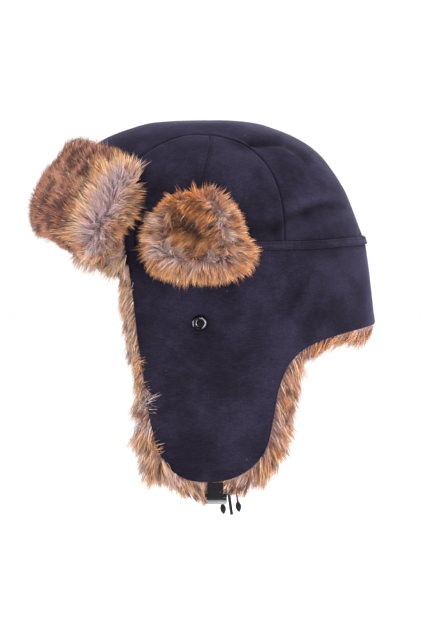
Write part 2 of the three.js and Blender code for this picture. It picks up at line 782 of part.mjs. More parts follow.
// A webbing tab: two plies that part at the foot to loop round the buckle's bar. Its top is at y 0 and the bar's
// middle is its length below.
function webbingTab(tabLength) {
  const ply = webbingThickness;
  const outer = loopRadius + ply;
  const shape = new THREE.Shape();
  shape.moveTo(-ply, 0);
  shape.lineTo(ply, 0);
  shape.lineTo(ply, tabLength - outer * 1.7);
  shape.lineTo(outer, tabLength);
  shape.absarc(0, tabLength, outer, 0, Math.PI, false);
  shape.lineTo(-ply, tabLength - outer * 1.7);
  const eye = new THREE.Path();
  eye.absarc(0, tabLength, loopRadius, 0, Math.PI * 2, true);
  shape.holes.push(eye);
  const woven = new THREE.ExtrudeGeometry(shape, { depth: webbingWidth, bevelEnabled: false, curveSegments: 5 });
  return geometryOf(solidOf(woven.translate(0, 0, -webbingWidth / 2)));
}

// A tab and its buckle half, hung at the lower edge of a flap. side is 1 on the left and -1 on the right.
function hangBuckle({ side, behind, length, swing, tilt, tabName, buckleName, buckle }) {
  const place = flapPlace(-panelFoot);
  const share = edgeShareAt(behind);
  const edge = place(share, 1);
  const outward = outwardAt(edge);
  const lowest = Math.min(...[-0.5, 0.5].map((k) => place(edgeShareAt(behind + k * webbingWidth), 1).z), edge.z);
  const holder = new THREE.Group();
  const x = (edge.x - outward.x * (flapCloth - webbingThickness)) * side;
  holder.position.set(x, edge.y, lowest - clearance);
  holder.rotation.x = swing * degrees;
  const tab = piece(tabName, webbingTab(length), webbing);
  tab.rotation.x = -Math.PI / 2;
  const half = piece(buckleName, geometryOf(buckle), plastic);
  const hinge = new THREE.Group();
  hinge.position.z = -length;
  hinge.rotation.y = tilt * degrees * side;
  half.quaternion.setFromRotationMatrix(
    new THREE.Matrix4().makeBasis(
      new THREE.Vector3(0, 1, 0),
      new THREE.Vector3(0, 0, -1),
      new THREE.Vector3(-1, 0, 0),
    ),
  );
  hinge.add(half);
  holder.add(tab, hinge);
  return holder;
}

const hat = new THREE.Group();
const middle = centrePanel();
hat.add(piece("crown_centre", middle, suede));
for (const [name, span] of Object.entries(panelSpans)) {
  const geometry = sidePanel(span);
  hat.add(piece(`crown_side_${name}_left`, geometry, suede));
  hat.add(piece(`crown_side_${name}_right`, toRight(geometry), suede));
}
hat.add(piece("seam_band", seamBand(), suede));
hat.add(piece("flap_shell", flapShell(), suede));
hat.add(piece("flap_fur", flapFur(), fur));
hat.add(piece("peak_shell", peakShell(), suede));
hat.add(piece("peak_fur", peakFurBody(), fur));
const vents = { vent_shell: [ventShell(), suede], vent_fur: [ventFurBody(), fur], snap: [stud(), metal] };
for (const [name, [geometry, material]] of Object.entries(vents)) {
  hat.add(piece(`${name}_left`, geometry, material));
  hat.add(piece(`${name}_right`, toRight(geometry), material));
}
hat.add(
  hangBuckle({
    side: 1,
    behind: leftTabBehind,
    length: leftTabLength,
    swing: 0,
    tilt: socketTilt,
    tabName: "strap_left",
    buckleName: "buckle_socket",
    buckle: buckleSocket(),
  }),
  hangBuckle({
    side: -1,
    behind: rightTabBehind,
    length: rightTabLength,
    swing: rightTabSwing,
    tilt: 0,
    tabName: "strap_right",
    buckleName: "buckle_prongs",
    buckle: bucklePlug(),
  }),
);

// The highest point inside the crown is at the height of the origin.
middle.computeBoundingBox();
hat.position.z = crownCloth - middle.boundingBox.max.z;

export default hat;
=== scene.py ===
import bmesh
import bpy
import numpy as np
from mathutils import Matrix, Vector, noise
from mathutils.bvhtree import BVHTree


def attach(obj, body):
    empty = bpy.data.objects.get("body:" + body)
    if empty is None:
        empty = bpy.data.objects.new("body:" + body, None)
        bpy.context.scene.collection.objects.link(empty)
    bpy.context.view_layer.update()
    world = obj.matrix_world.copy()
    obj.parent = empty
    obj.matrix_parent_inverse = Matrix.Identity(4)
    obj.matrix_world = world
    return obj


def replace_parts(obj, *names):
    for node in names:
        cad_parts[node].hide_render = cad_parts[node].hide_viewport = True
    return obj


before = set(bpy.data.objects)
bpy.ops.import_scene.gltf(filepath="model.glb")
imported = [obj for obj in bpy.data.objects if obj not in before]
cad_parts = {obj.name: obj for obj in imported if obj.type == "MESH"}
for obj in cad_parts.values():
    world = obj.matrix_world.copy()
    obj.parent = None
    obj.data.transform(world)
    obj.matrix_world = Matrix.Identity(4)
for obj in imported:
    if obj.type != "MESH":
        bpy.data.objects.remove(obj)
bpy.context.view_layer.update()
print("frame loaded:", len(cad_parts), "nodes")

# The head form that every piece is laid on, in millimetres from the band line, where the height is 0
hatForm = dict(
    crownHeight=94.0,
    crownFront=119.0,
    crownBack=127.5,
    crownHalfWidth=98.0,
    flapDrop=191.0,
    roundness=2.3,
    bandLine=-93.702,  # where the band line lies below the crown seat
)

# Sections of the crown: sqrt(1 - rise), then front, back and side reach as shares
crownSections = np.array(
    [
        (1.0, 0, 0, 0),
        (0.98, 0.37, 0.262, 0.3),
        (0.93, 0.54, 0.396, 0.5),
        (0.83, 0.735, 0.572, 0.69),
        (0.725, 0.84, 0.677, 0.795),
        (0.575, 0.92, 0.769, 0.88),
        (0.42, 0.965, 0.844, 0.935),
        (0.27, 0.985, 0.902, 0.97),
        (0.12, 0.997, 0.955, 0.99),
        (0.0, 1, 1, 1),
    ]
)
crownSections[:, 0] = np.sqrt(1 - crownSections[:, 0])

# Sections below the band: share of the drop, then front, back and side reach
flapSections = np.array(
    [
        (0.0, 1, 1, 1),
        (0.18, 1, 1.035, 0.995),
        (0.37, 0.985, 1.067, 0.98),
        (0.6, 0.965, 1.08, 0.945),
        (0.8, 0.95, 1.08, 0.905),
        (1.3, 0.94, 1.07, 0.78),
    ]
)

# Lower edge of the flaps from the brow to the nape: turn, drop, and turn above it at the band
flapEdge = np.array(
    [
        (-50, 0.035, -50),
        (-34, 0.08, -41),
        (-28.5, 0.12, -36),
        (-27.4, 0.22, -32),
        (-26.4, 0.38, -28.5),
        (-24.2, 0.56, -24.5),
        (-22, 0.73, -20),
        (-18.6, 0.87, -15.5),
        (-12.5, 0.96, -10.5),
        (-4.5, 1, -4.5),
        (4, 0.994, 2.5),
        (11, 0.943, 9),
        (15.8, 0.86, 15),
        (18.2, 0.73, 20.5),
        (20, 0.61, 26),
        (24.5, 0.5, 33),
        (33.5, 0.43, 43),
        (50, 0.39, 57),
        (70, 0.373, 73),
        (90, 0.37, 90),
    ]
)
flapEdge = np.column_stack([np.linspace(0, 1, len(flapEdge)), flapEdge])


def readTable(table, at):
    keys, rows = table[:, 0], table[:, 1:]
    last = len(keys) - 1
    i = np.clip(np.searchsorted(keys, at) - 1, 0, last - 1)
    span = (keys[i + 1] - keys[i])[:, None]
    t = (at - keys[i])[:, None] / span
    before, after = np.maximum(i - 1, 0), np.minimum(i + 2, last)
    slopeA = (rows[i + 1] - rows[before]) / (keys[i + 1] - keys[before])[:, None] * span
    slopeB = (rows[after] - rows[i]) / (keys[after] - keys[i])[:, None] * span
    a, b = rows[i], rows[i + 1]
    cubic = (2 * a - 2 * b + slopeA + slopeB) * t**3
    square = (3 * b - 3 * a - 2 * slopeA - slopeB) * t**2
    return cubic + square + slopeA * t + a


def reachAt(z):
    f = hatForm
    above = readTable(crownSections, np.sqrt(np.clip(1 - z / f["crownHeight"], 0, None)))
    below = readTable(flapSections, -z / f["flapDrop"])
    share = np.where((z >= 0)[:, None], above, below)
    return share[:, 0] * f["crownFront"], share[:, 1] * f["crownBack"], share[:, 2] * f["crownHalfWidth"]


def pointAt(turn, z):
    front, back, side = reachAt(z)
    power = 2 / hatForm["roundness"]
    s, c = np.sin(np.radians(turn)), np.cos(np.radians(turn))
    along, across = np.sign(s) * np.abs(s) ** power, np.sign(c) * np.abs(c) ** power
    return np.column_stack([across * side, along * np.where(along > 0, back, front), z])


def turnOf(y, z):
    front, back = reachAt(z)[:2]
    share = np.clip(np.abs(y) / np.where(y > 0, back, front), 0, 1)
    return np.degrees(np.sign(y) * np.arcsin(share ** (hatForm["roundness"] / 2)))


def fullness(p):
    front, back, side = (np.maximum(reach, 1e-3) for reach in reachAt(p[:, 2]))
    n = hatForm["roundness"]
    full = (np.abs(p[:, 0]) / side) ** n + (np.abs(p[:, 1]) / np.where(p[:, 1] > 0, back, front)) ** n
    return np.where(p[:, 2] >= hatForm["crownHeight"], 2, full)


def unit(v):
    return v / np.maximum(np.linalg.norm(v, axis=1, keepdims=True), 1e-9)


def outwardAt(p):
    steps = np.eye(3) * 0.4
    return unit(np.column_stack([fullness(p + s) - fullness(p - s) for s in steps]))


def smooth(t):
    c = np.clip(t, 0, 1)
    return c * c * (3 - 2 * c)


folds = [  # in the side view: y and z of both ends, relief, spread
    (23.0, 75.2, 66.3, 77.1, -2.6, 8.5),
    (51.0, 11.3, 79.0, 20.7, -3.1, 7.5),
    (79.0, 20.7, 109.6, 24.4, -2.9, 7.5),
    (74.0, 9.4, 114.7, 12.2, 1.8, 7.5),
    (25.5, 7.5, 53.5, 5.6, -2.3, 6.6),
    (76.5, -32.0, 61.2, -71.4, 2.3, 8.5),
    (89.2, -37.6, 76.5, -69.6, -2.3, 7.5),
]
creases = [  # finer ones that only the cloth shows
    (118.0, 24.0, 122.0, 2.0, -0.9, 2.2),
    (10.0, 79.5, 31.0, 76.5, -1.5, 2.4),
    (31.0, 76.5, 54.0, 76.6, -1.9, 2.4),
    (30.0, 80.5, 56.0, 81.5, 1.4, 3.6),
    (62.0, 73.0, 75.0, 62.0, -1.3, 2.8),
    (75.0, 62.0, 78.0, 50.0, -1.0, 2.6),
    (80.0, 60.0, 93.0, 47.0, 1.3, 4.5),
    (52.0, 12.0, 63.0, 18.0, -1.6, 2.4),
    (63.0, 18.0, 75.0, 24.0, -1.8, 2.4),
    (75.0, 24.0, 87.0, 27.5, -1.8, 2.2),
    (87.0, 27.5, 108.0, 26.0, -1.5, 2.2),
    (66.0, 27.0, 100.0, 33.5, 1.5, 4.0),
    (50.8, 12.7, 51.2, 10.0, -0.7, 3.0),
    (50.0, 11.5, 34.0, 10.5, -0.9, 2.6),
    (71.0, -36.0, 60.0, -56.0, -0.9, 3.0),
    (62.0, -24.0, 50.0, -44.0, 0.9, 5.0),
    (36.0, 50.0, 52.0, 20.0, -0.4, 3.5),
    (-34.0, 60.0, -48.0, 30.0, -0.4, 3.0),
    (30.0, -40.0, 12.0, -96.0, 0.5, 5.0),
    (-6.0, -110.0, 8.0, -150.0, -0.4, 4.5),
    (98.0, -10.0, 118.0, -44.0, -0.5, 4.0),
]


def reliefAt(p, table):
    total = np.zeros(len(p))
    for y0, z0, y1, z1, relief, spread in table:  # each line runs from (y0, z0) to (y1, z1)
        dy, dz = y1 - y0, z1 - z0
        t = np.clip(((p[:, 1] - y0) * dy + (p[:, 2] - z0) * dz) / (dy * dy + dz * dz), 0, 1)
        away = np.hypot(p[:, 1] - y0 - t * dy, p[:, 2] - z0 - t * dz)
        total += relief * np.exp(-((away / spread) ** 2))
    return total


def cloud(p, size, layer=0):
    moved = p / size + np.array([layer * 7.3, layer * 3.1, layer * 5.7])
    return np.array([noise.noise(Vector(q)) for q in moved.tolist()])


def crumple(p):
    return 0.55 * cloud(p, 26, 1) + 0.3 * cloud(p, 11, 2) + 0.12 * cloud(p, 5, 3)


def gridOf(across, along):  # every pair of their values, row by row
    return [values.ravel() for values in np.meshgrid(across, along)]


def crowded(length, step):  # shares of a length, closer together near its ends
    near = np.array([0, 0.35, 0.7, 1.1, 1.6, 2.2, 3.0, 4.2])
    count = max(int((length - 2 * near[-1]) / step), 2)
    middle = np.linspace(near[-1], length - near[-1], count + 1)
    spots = np.concatenate([near[:-1], middle, length - near[:-1][::-1]])
    return np.unique(np.round(spots, 4)) / length


# Meshes
def toWorld(p):
    return (p + np.array([0, 0, hatForm["bandLine"]])) * 0.001


def addPiece(name, points, faces, material):
    mesh = bpy.data.meshes.new(name)
    flat = np.concatenate([np.asarray(f).ravel() for f in faces]).astype(np.int32)
    sizes = np.concatenate([np.full(len(f), np.asarray(f).shape[1]) for f in faces])
    mesh.vertices.add(len(points))
    mesh.vertices.foreach_set("co", toWorld(points).astype(np.float32).ravel())
    mesh.loops.add(len(flat))
    mesh.loops.foreach_set("vertex_index", flat)
    mesh.polygons.add(len(sizes))
    starts = np.concatenate([[0], np.cumsum(sizes)[:-1]]).astype(np.int32)
    mesh.polygons.foreach_set("loop_start", starts)
    mesh.polygons.foreach_set("use_smooth", np.full(len(sizes), True))
    mesh.update(calc_edges=True)
    mesh.validate()
    mesh.materials.append(material)
    piece = bpy.data.objects.new(name, mesh)
    bpy.context.scene.collection.objects.link(piece)
    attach(piece, "root")
    return piece


def gridFaces(rows, columns, start=0):
    at = start + np.arange(rows * columns).reshape(rows, columns)
    return np.stack([at[:-1, :-1], at[:-1, 1:], at[1:, 1:], at[1:, :-1]], axis=-1).reshape(-1, 4)


def ringQuads(at):  # the faces between closed rings of points
    after = np.roll(at, -1, axis=1)
    return np.stack([at[:-1], after[:-1], after[1:], at[1:]], axis=-1).reshape(-1, 4)


def sheetFaces(rows, columns):
    size = rows * columns
    at = np.arange(size).reshape(rows, columns)
    rim = np.concatenate([at[0, :-1], at[:-1, -1], at[-1, :0:-1], at[:0:-1, 0]])
    after = np.roll(rim, -1)
    sides = np.column_stack([after, rim, rim + size, after + size])
    return np.concatenate([gridFaces(rows, columns), gridFaces(rows, columns, size)[:, ::-1], sides])


def facingOut(points, faces):
    a, b, c, d = (points[faces[:, k]] for k in range(4))
    volume = np.einsum("ij,ij->i", a, np.cross(b, c)).sum() + np.einsum("ij,ij->i", a, np.cross(c, d)).sum()
    return faces if volume > 0 else faces[:, ::-1]


def clothSize(outer, rows, columns):  # its widest row and longest column in metres, and its area
    g = outer.reshape(rows, columns, 3)
    across, along = (np.linalg.norm(np.diff(g, axis=k), axis=2).sum(axis=k).max() / 1e3 for k in (1, 0))
    a, b = g[1:, 1:] - g[:-1, :-1], g[1:, :-1] - g[:-1, 1:]
    return (across, along), np.linalg.norm(np.cross(a, b), axis=2).sum() / 2 / 1e6


def hemRound(distance, thickness):  # how far each face closes in near a turned edge
    half = thickness / 2
    t = np.clip(distance / (half * 1.6), 0, 1)
    return half * (1 - np.sqrt(np.clip(1 - (1 - t) ** 2, 0, 1)))


def sagged(p):  # the band and the cloth beside it hang lower behind the vents
    side = 4.0 * smooth((112 - p[:, 1]) / 55) * smooth((p[:, 1] + 20) / 40)
    sag = (side + 2.2 * smooth((p[:, 1] - 60) / 40)) * np.exp(-((p[:, 2] / 22) ** 2))
    return p - sag[:, None] * np.array([[0, 0, 1]])


def addCloth(name, seat, lift, thickness, shape, replaced, closing=None, mirrored=False, material="suede"):
    rows, columns = shape
    seat = sagged(seat)
    normal = outwardAt(seat)
    close = np.zeros(len(seat)) if closing is None else closing
    outer = seat + normal * (lift - close)[:, None]
    inner = seat + normal * (lift - thickness + close)[:, None]
    points = np.concatenate([outer, inner])
    if mirrored:
        points = points * np.array([-1, 1, 1])
    faces = facingOut(points, sheetFaces(rows, columns))
    piece = addPiece(name, points, [faces], materials[material])
    shade = 1 + 0.3 * reliefAt(seat, creases) + 0.06 * reliefAt(seat, folds)  # painted shade in the creases and folds, painted light along their ridges
    height = seat[:, 2]
    # Painted light: the cloth lower down is made lighter; painted shade: the cloth just above the band line
    # is made darker
    lower = 1 + 0.12 * smooth((-height - 50) / 60)
    shade = shade.clip(0.5, 1.3) * (1 - 0.16 * np.exp(-(((height - 11) / 16) ** 2))) * lower
    layer = piece.data.color_attributes.new("painted_shade_and_light", "FLOAT_COLOR", "POINT")
    layer.data.foreach_set("color", np.tile(np.column_stack([shade] * 3 + [shade * 0 + 1]), (2, 1)).ravel())
    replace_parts(piece, *replaced)
    return piece, *clothSize(outer, rows, columns)


# Materials
finishOutputs = [
    ("Color", "NodeSocketColor"),
    ("Roughness", "NodeSocketFloat"),
    ("Height", "NodeSocketFloat"),
]


def linear(rgb):
    c = np.asarray(rgb, float) / 255
    return np.where(c <= 0.04045, c / 12.92, ((c + 0.055) / 1.055) ** 2.4)


def newGroup(name, inputs, outputs):
    group = bpy.data.node_groups.new(name, "ShaderNodeTree")
    for label, kind, value in inputs:
        socket = group.interface.new_socket(label, in_out="INPUT", socket_type=kind)
        socket.default_value = value
    for label, kind in outputs:
        group.interface.new_socket(label, in_out="OUTPUT", socket_type=kind)
    return group, addNode(group, "NodeGroupInput"), addNode(group, "NodeGroupOutput")


def addNode(tree, kind, **values):
    node = tree.nodes.new(kind)
    for key, value in values.items():
        if key.startswith("in_"):
            label = key[3:].replace("_", " ")
            node.inputs[label].default_value = value
        else:
            setattr(node, key, value)
    return node


def math(tree, operation, first, second=None, clamp=False):
    node = addNode(tree, "ShaderNodeMath", operation=operation, use_clamp=clamp)
    for k, value in enumerate((first, second)):
        if value is None:
            continue
        if isinstance(value, (int, float)):
            node.inputs[k].default_value = value
        else:
            tree.links.new(value, node.inputs[k])
    return node.outputs[0]


def mixColour(tree, share, first, second, blend="MIX"):
    node = addNode(tree, "ShaderNodeMix", data_type="RGBA", blend_type=blend, clamp_factor=True)
    for socket, value in zip((node.inputs[0], node.inputs[6], node.inputs[7]), (share, first, second)):
        if isinstance(value, (int, float)):
            socket.default_value = value
        elif isinstance(value, tuple):
            socket.default_value = (*value[:3], 1)
        else:
            tree.links.new(value, socket)
    return node.outputs[2]


def noiseAt(tree, where, scale, detail=3.0, roughness=0.55):
    node = addNode(tree, "ShaderNodeTexNoise", in_Detail=detail, in_Roughness=roughness)
    tree.links.new(where, node.inputs["Vector"])
    if isinstance(scale, (int, float)):
        node.inputs["Scale"].default_value = scale
    else:
        tree.links.new(scale, node.inputs["Scale"])
    return node.outputs["Fac"]


def remap(tree, value, low, high, newLow=0.0, newHigh=1.0):
    node = addNode(tree, "ShaderNodeMapRange", interpolation_type="SMOOTHSTEP")
    tree.links.new(value, node.inputs["Value"])
    for label, number in (("From Min", low), ("From Max", high), ("To Min", newLow), ("To Max", newHigh)):
        node.inputs[label].default_value = number
    return node.outputs["Result"]


def newMaterial(name, **plain):
    material = bpy.data.materials.new(name)
    material.use_nodes = True
    tree = material.node_tree
    shader = tree.nodes["Principled BSDF"]
    for label, value in plain.items():
        shader.inputs[label.replace("_", " ")].default_value = value
    return material, tree, shader


def makeNapGroup():
    group, into, out = newGroup(
        "brushed nap",
        [
            ("Vector", "NodeSocketVector", (0, 0, 0)),
            ("Cloth Color", "NodeSocketColor", (0.03, 0.025, 0.04, 1)),
            ("Brushed Color", "NodeSocketColor", (0.05, 0.045, 0.07, 1)),
            ("Cloud Scale", "NodeSocketFloat", 26.0),
            ("Cloud Strength", "NodeSocketFloat", 0.6),
            ("Lint", "NodeSocketFloat", 0.3),
        ],
        finishOutputs,
    )
    where = into.outputs["Vector"]
    clouds = noiseAt(group, where, into.outputs["Cloud Scale"], 5.0, 0.6)
    strokes = addNode(group, "ShaderNodeMapping", vector_type="POINT")
    strokes.inputs["Scale"].default_value = (1.0, 0.55, 2.3)
    strokes.inputs["Rotation"].default_value = (0.7, 0.0, 0.0)
    group.links.new(where, strokes.inputs["Vector"])
    brushed = noiseAt(group, strokes.outputs["Vector"], 95.0, 4.0, 0.6)
    nap = noiseAt(group, where, 1000.0, 3.0, 0.75)
    laid = addNode(group, "ShaderNodeMapping", vector_type="POINT")
    laid.inputs["Scale"].default_value = (0.4, 0.22, 1.0)
    laid.inputs["Rotation"].default_value = (0.12, 0.0, 0.0)
    group.links.new(where, laid.inputs["Vector"])
    fibres = noiseAt(group, laid.outputs["Vector"], 900.0, 3.0, 0.7)
    tone = math(group, "ADD", remap(group, clouds, 0.33, 0.7), math(group, "MULTIPLY", brushed, 0.5))
    tone = math(group, "ADD", tone, math(group, "MULTIPLY", math(group, "SUBTRACT", fibres, 0.5), 1.8))
    above = math(group, "SUBTRACT", tone, 0.2)
    share = math(group, "MULTIPLY", above, into.outputs["Cloud Strength"], clamp=True)
    colour = mixColour(group, share, into.outputs["Cloth Color"], into.outputs["Brushed Color"])
    grain = remap(group, nap, 0.28, 0.75, 0.72, 1.26)
    combine = addNode(group, "ShaderNodeCombineColor")
    for k in range(3):
        group.links.new(grain, combine.inputs[k])
    colour = mixColour(group, 1.0, colour, combine.outputs[0], "MULTIPLY")
    specks = addNode(group, "ShaderNodeTexVoronoi", feature="F1", in_Scale=210.0, in_Randomness=1.0)
    group.links.new(where, specks.inputs["Vector"])
    near = remap(group, specks.outputs["Distance"], 0.045, 0.1, 1.0, 0.0)
    rare = remap(group, noiseAt(group, where, 120.0, 1.0, 0.5), 0.62, 0.7)
    lint = math(group, "MULTIPLY", math(group, "MULTIPLY", near, rare), into.outputs["Lint"])
    colour = mixColour(group, lint, colour, (0.28, 0.26, 0.3))
    rough = remap(group, clouds, 0.3, 0.7, 0.98, 0.86)
    height = math(group, "ADD", math(group, "MULTIPLY", nap, 0.35), math(group, "MULTIPLY", brushed, 0.65))
    for label, socket in (("Color", colour), ("Roughness", rough), ("Height", height)):
        group.links.new(socket, out.inputs[label])
    return group


def placeGroup(tree, group, values):
    node = addNode(tree, "ShaderNodeGroup")
    node.node_tree = group
    for label, value in values.items():
        node.inputs[label].default_value = value
    return node


def joinFinish(tree, shader, finish):
    tree.links.new(finish.outputs["Color"], shader.inputs["Base Color"])
    tree.links.new(finish.outputs["Roughness"], shader.inputs["Roughness"])


def addBump(tree, shader, height, strength, distance):
    bump = addNode(tree, "ShaderNodeBump", in_Strength=strength, in_Distance=distance)
    tree.links.new(height, bump.inputs["Height"])
    tree.links.new(bump.outputs["Normal"], shader.inputs["Normal"])


def makeSuede(name, look):
    material, tree, shader = newMaterial(
        name,
        Sheen_Weight=look["sheen"],
        Sheen_Roughness=0.45,
        Sheen_Tint=(*linear(look["sheenTint"]), 1),
        Specular_IOR_Level=0.08,
    )
    where = addNode(tree, "ShaderNodeTexCoord").outputs["Object"]
    nap = placeGroup(
        tree,
        napGroup,
        {
            "Cloth Color": (*linear(look["cloth"]), 1),
            "Brushed Color": (*linear(look["brushed"]), 1),
            "Cloud Scale": look["cloudScale"],
            "Cloud Strength": look["cloudStrength"],
            "Lint": look["lint"],
        },
    )
    tree.links.new(where, nap.inputs["Vector"])
    # The cloth's colour is multiplied by the painted shade and light that each sheet carries in its points
    painted_shade_and_light = addNode(tree, "ShaderNodeVertexColor", layer_name="painted_shade_and_light").outputs["Color"]
    tree.links.new(mixColour(tree, 1.0, nap.outputs["Color"], painted_shade_and_light, "MULTIPLY"), shader.inputs["Base Color"])
    tree.links.new(nap.outputs["Roughness"], shader.inputs["Roughness"])
    addBump(tree, shader, nap.outputs["Height"], 0.5, 0.0004)
    return material


suedeLooks = {
    "suede": dict(cloth=(20, 17, 27), brushed=(40, 36, 54), cloudScale=24.0, lint=0.4),
    "suede band": dict(cloth=(22, 19, 28), brushed=(46, 41, 60), cloudScale=40.0, lint=0.25),
}
napGroup = makeNapGroup()
materials = {}
for name, look in suedeLooks.items():
    materials[name] = makeSuede(name, dict(look, cloudStrength=0.65, sheen=0.11, sheenTint=(176, 166, 228)))

# The crown: two side panels on each side of a middle strip, with the seams drawn in between them
crown = dict(
    seamCentre=-15.0,
    frontHalf=81.0,
    rearHalf=73.0,
    seamHeight=84.0,
    frontRoundness=1.6,
    rearRoundness=2.5,
    uprightAt=0.12,
    lean=0.11,
    foot=2.65,
    cloth=2.4,
    sidePuff=2.6,
    centrePuff=2.2,
    reach=0.28,
    seamDepth=1.3,
    seamWidth=0.9,
    crumple=0.5,
    step=2.9,
    alongStep=1.8,
    browRise=16.0,
    lap=0.3,
    sideHalf=78.0,  # about half a side's width, for distances from its upright seam
    spacing=dict(half=80, height=82, middle=190),  # rough sizes that the rows of points are spaced over
)


def archAt(angle, share=1.0, grow=0.0):
    c, s = np.cos(angle), np.sin(angle)
    power = 2 / np.where(c < 0, crown["frontRoundness"], crown["rearRoundness"])
    half = np.where(c < 0, crown["frontHalf"], crown["rearHalf"]) + grow
    rise = crown["seamHeight"] - crown["foot"] + grow
    y = crown["seamCentre"] + half * np.sign(c) * np.abs(c) ** power * share
    return y, crown["foot"] + rise * np.maximum(s, 0) ** power * share


def onSide(y, z):
    front, back, side = reachAt(z)
    n = hatForm["roundness"]
    share = 1 - (np.abs(y) / np.where(y > 0, back, front)) ** n
    return np.column_stack([side * np.maximum(share, 0) ** (1 / n), y, z])


def seamDip(distance, pucker=0.0):
    c = crown
    groove = np.exp(-((distance / c["seamWidth"]) ** 2)) + 0.3 * np.exp(-((distance / 4.5) ** 2))
    return -c["seamDepth"] * groove + pucker * np.exp(-((distance - 3.5) ** 2) / 16)


def pucker(p, layer):  # little gathers that a tight seam pulls into the cloth
    along = p[:, 1] * 0.72 + p[:, 2] * 0.69
    return 0.3 * np.sin(along / 1.55 + 2.2 * cloud(p, 14, layer)) * (0.6 + cloud(p, 22, layer + 1))


def leaned(a, b):  # the upright seam leans back towards the top
    c = crown
    room = np.where(a < c["uprightAt"], 1 + c["uprightAt"], 1 - c["uprightAt"])
    return a + c["lean"] * (smooth((b - 0.45) / 0.55) - 0.4) * (1 - np.abs(a - c["uprightAt"]) / room)


def inArch(a, b):  # a place in a side's own square as an angle and a share of the arch
    a = leaned(a, b)
    along, rise = a * np.sqrt(1 - b**2 / 2), b * np.sqrt(1 - a**2 / 2)
    return np.arctan2(rise, along), np.hypot(along, rise)


def addSidePanel(name, start, end, mirrored):
    c = crown
    across = start + (end - start) * crowded(abs(end - start) * c["spacing"]["half"], c["step"])
    up = crowded(c["spacing"]["height"], c["step"])
    shape = (len(up), len(across))
    a, b = gridOf(across, up)
    angle, share = inArch(a, b)
    seat = onSide(*archAt(angle, share, c["lap"]))
    archY, archZ = archAt(angle)
    radius = np.hypot(archY - c["seamCentre"], archZ - c["foot"])
    toArch = (1 - share) * radius
    toUpright = np.abs(a - c["uprightAt"]) * c["sideHalf"]
    edge = np.maximum(np.abs(a), b)
    puff = c["sidePuff"] * smooth((1 - edge) / c["reach"]) * smooth(b / c["reach"] + 0.15)
    puff *= 0.55 + 0.45 * smooth(toUpright / c["sideHalf"] / c["reach"])
    inPanel = smooth((1 - edge) * 8)
    lift = puff + reliefAt(seat, folds) * inPanel + reliefAt(seat, creases) * inPanel
    lift += c["crumple"] * crumple(seat) * smooth(toArch / 6)
    gathers = pucker(seat, 5)
    atSeams = np.minimum(seamDip(toArch, gathers), seamDip(toUpright, gathers))
    lift += np.minimum(atSeams, 0.6 * seamDip(seat[:, 2] - c["foot"]))
    return addCloth(name + "_cloth", seat, lift, c["cloth"], shape, [name], mirrored=mirrored)


def addCentrePanel():
    c = crown
    dense = np.linspace(np.pi, 0, 3000)
    y, z = archAt(dense)
    length = np.concatenate([[0], np.cumsum(np.hypot(np.diff(y), np.diff(z)))])
    spots = crowded(length[-1], c["alongStep"])
    angle = np.interp(spots * length[-1], length, dense)
    across = crowded(c["spacing"]["middle"], c["step"])
    shape = (len(across), len(spots))
    t, v = gridOf(angle, across)
    u = np.tile(spots, len(across))
    seamY, seamZ = archAt(t)
    seam = onSide(seamY, seamZ)
    browAngle = np.pi - np.arctan2(c["browRise"], hatForm["crownFront"] + c["seamCentre"])
    napeAngle = np.arctan2(c["foot"], hatForm["crownBack"] - c["seamCentre"])
    turn = np.arctan2(seamZ - c["foot"], seamY - c["seamCentre"])
    share = turn / np.pi
    turned = turn + (browAngle - np.pi) * share + napeAngle * (1 - share)

    def overTop(r):
        return np.column_stack([r * 0, c["seamCentre"] + r * np.cos(turned), r * np.sin(turned)])

    ridge = leaving(overTop, len(t), hatForm["crownFront"] + hatForm["crownBack"])
    swing = (1 - 2 * v) * np.pi / 2

    def path(r):
        up = r * np.cos(swing)
        x = r * np.sin(swing) * seam[:, 0]
        return np.column_stack([x, seamY + (ridge[:, 1] - seamY) * up, seamZ + (ridge[:, 2] - seamZ) * up])

    seat = leaving(path, len(t), 2.0)
    side = np.where(v < 0.5, 1, -1)[:, None] * np.array([[1, 0, 0]]) + np.array([[0, 1, 1]])
    toSeam = np.linalg.norm(seat - seam * side, axis=1)
    edgeV, edgeU = np.minimum(v, 1 - v), np.minimum(u, 1 - u)
    lift = c["centrePuff"] * smooth(edgeV / c["reach"]) * smooth(edgeU / c["reach"] * 3)
    inPanel = smooth(edgeV * 12) * smooth(np.abs(seat[:, 0]) / 30)  # the dents stop short of the top line
    lift += (reliefAt(seat, folds) + reliefAt(seat, creases)) * inPanel
    lift += c["crumple"] * crumple(seat) * smooth(toSeam / 6)
    lift += np.minimum(seamDip(toSeam, pucker(seat, 7)), 0.6 * seamDip(edgeU * length[-1]))
    return addCloth("crown_centre_cloth", seat, lift, c["cloth"], shape, ["crown_centre"])


def leaving(path, count, most):  # where each path leaves the head form
    low, high = np.zeros(count), np.full(count, most)
    for halving in range(26):
        middle = (low + high) / 2
        inside = fullness(path(middle)) < 1
        low, high = np.where(inside, middle, low), np.where(inside, high, middle)
    return path((low + high) / 2)


cloths = [addCentrePanel()]
for side, mirrored in (("left", False), ("right", True)):
    cloths.append(addSidePanel(f"crown_side_front_{side}", -1.0, crown["uprightAt"], mirrored))
    cloths.append(addSidePanel(f"crown_side_rear_{side}", crown["uprightAt"], 1.0, mirrored))
print("crown sewn")

# The strip along the band line, which laps over the edges above and below it
band = dict(proud=1.1, cloth=1.3, browTurn=-50.0, wave=0.12, columns=220)
bandSection = np.array(  # height, and how far the face stands out or in there
    [
        (-3.1, -1.0),
        (-2.95, -0.2),
        (-2.7, 0.05),
        (-2.2, 0.1),
        (-1.1, 0),
        (0, -0.05),
        (1.1, 0),
        (2.2, 0.1),
        (2.7, 0.05),
        (2.95, -0.2),
        (3.1, -1.0),
    ]
)


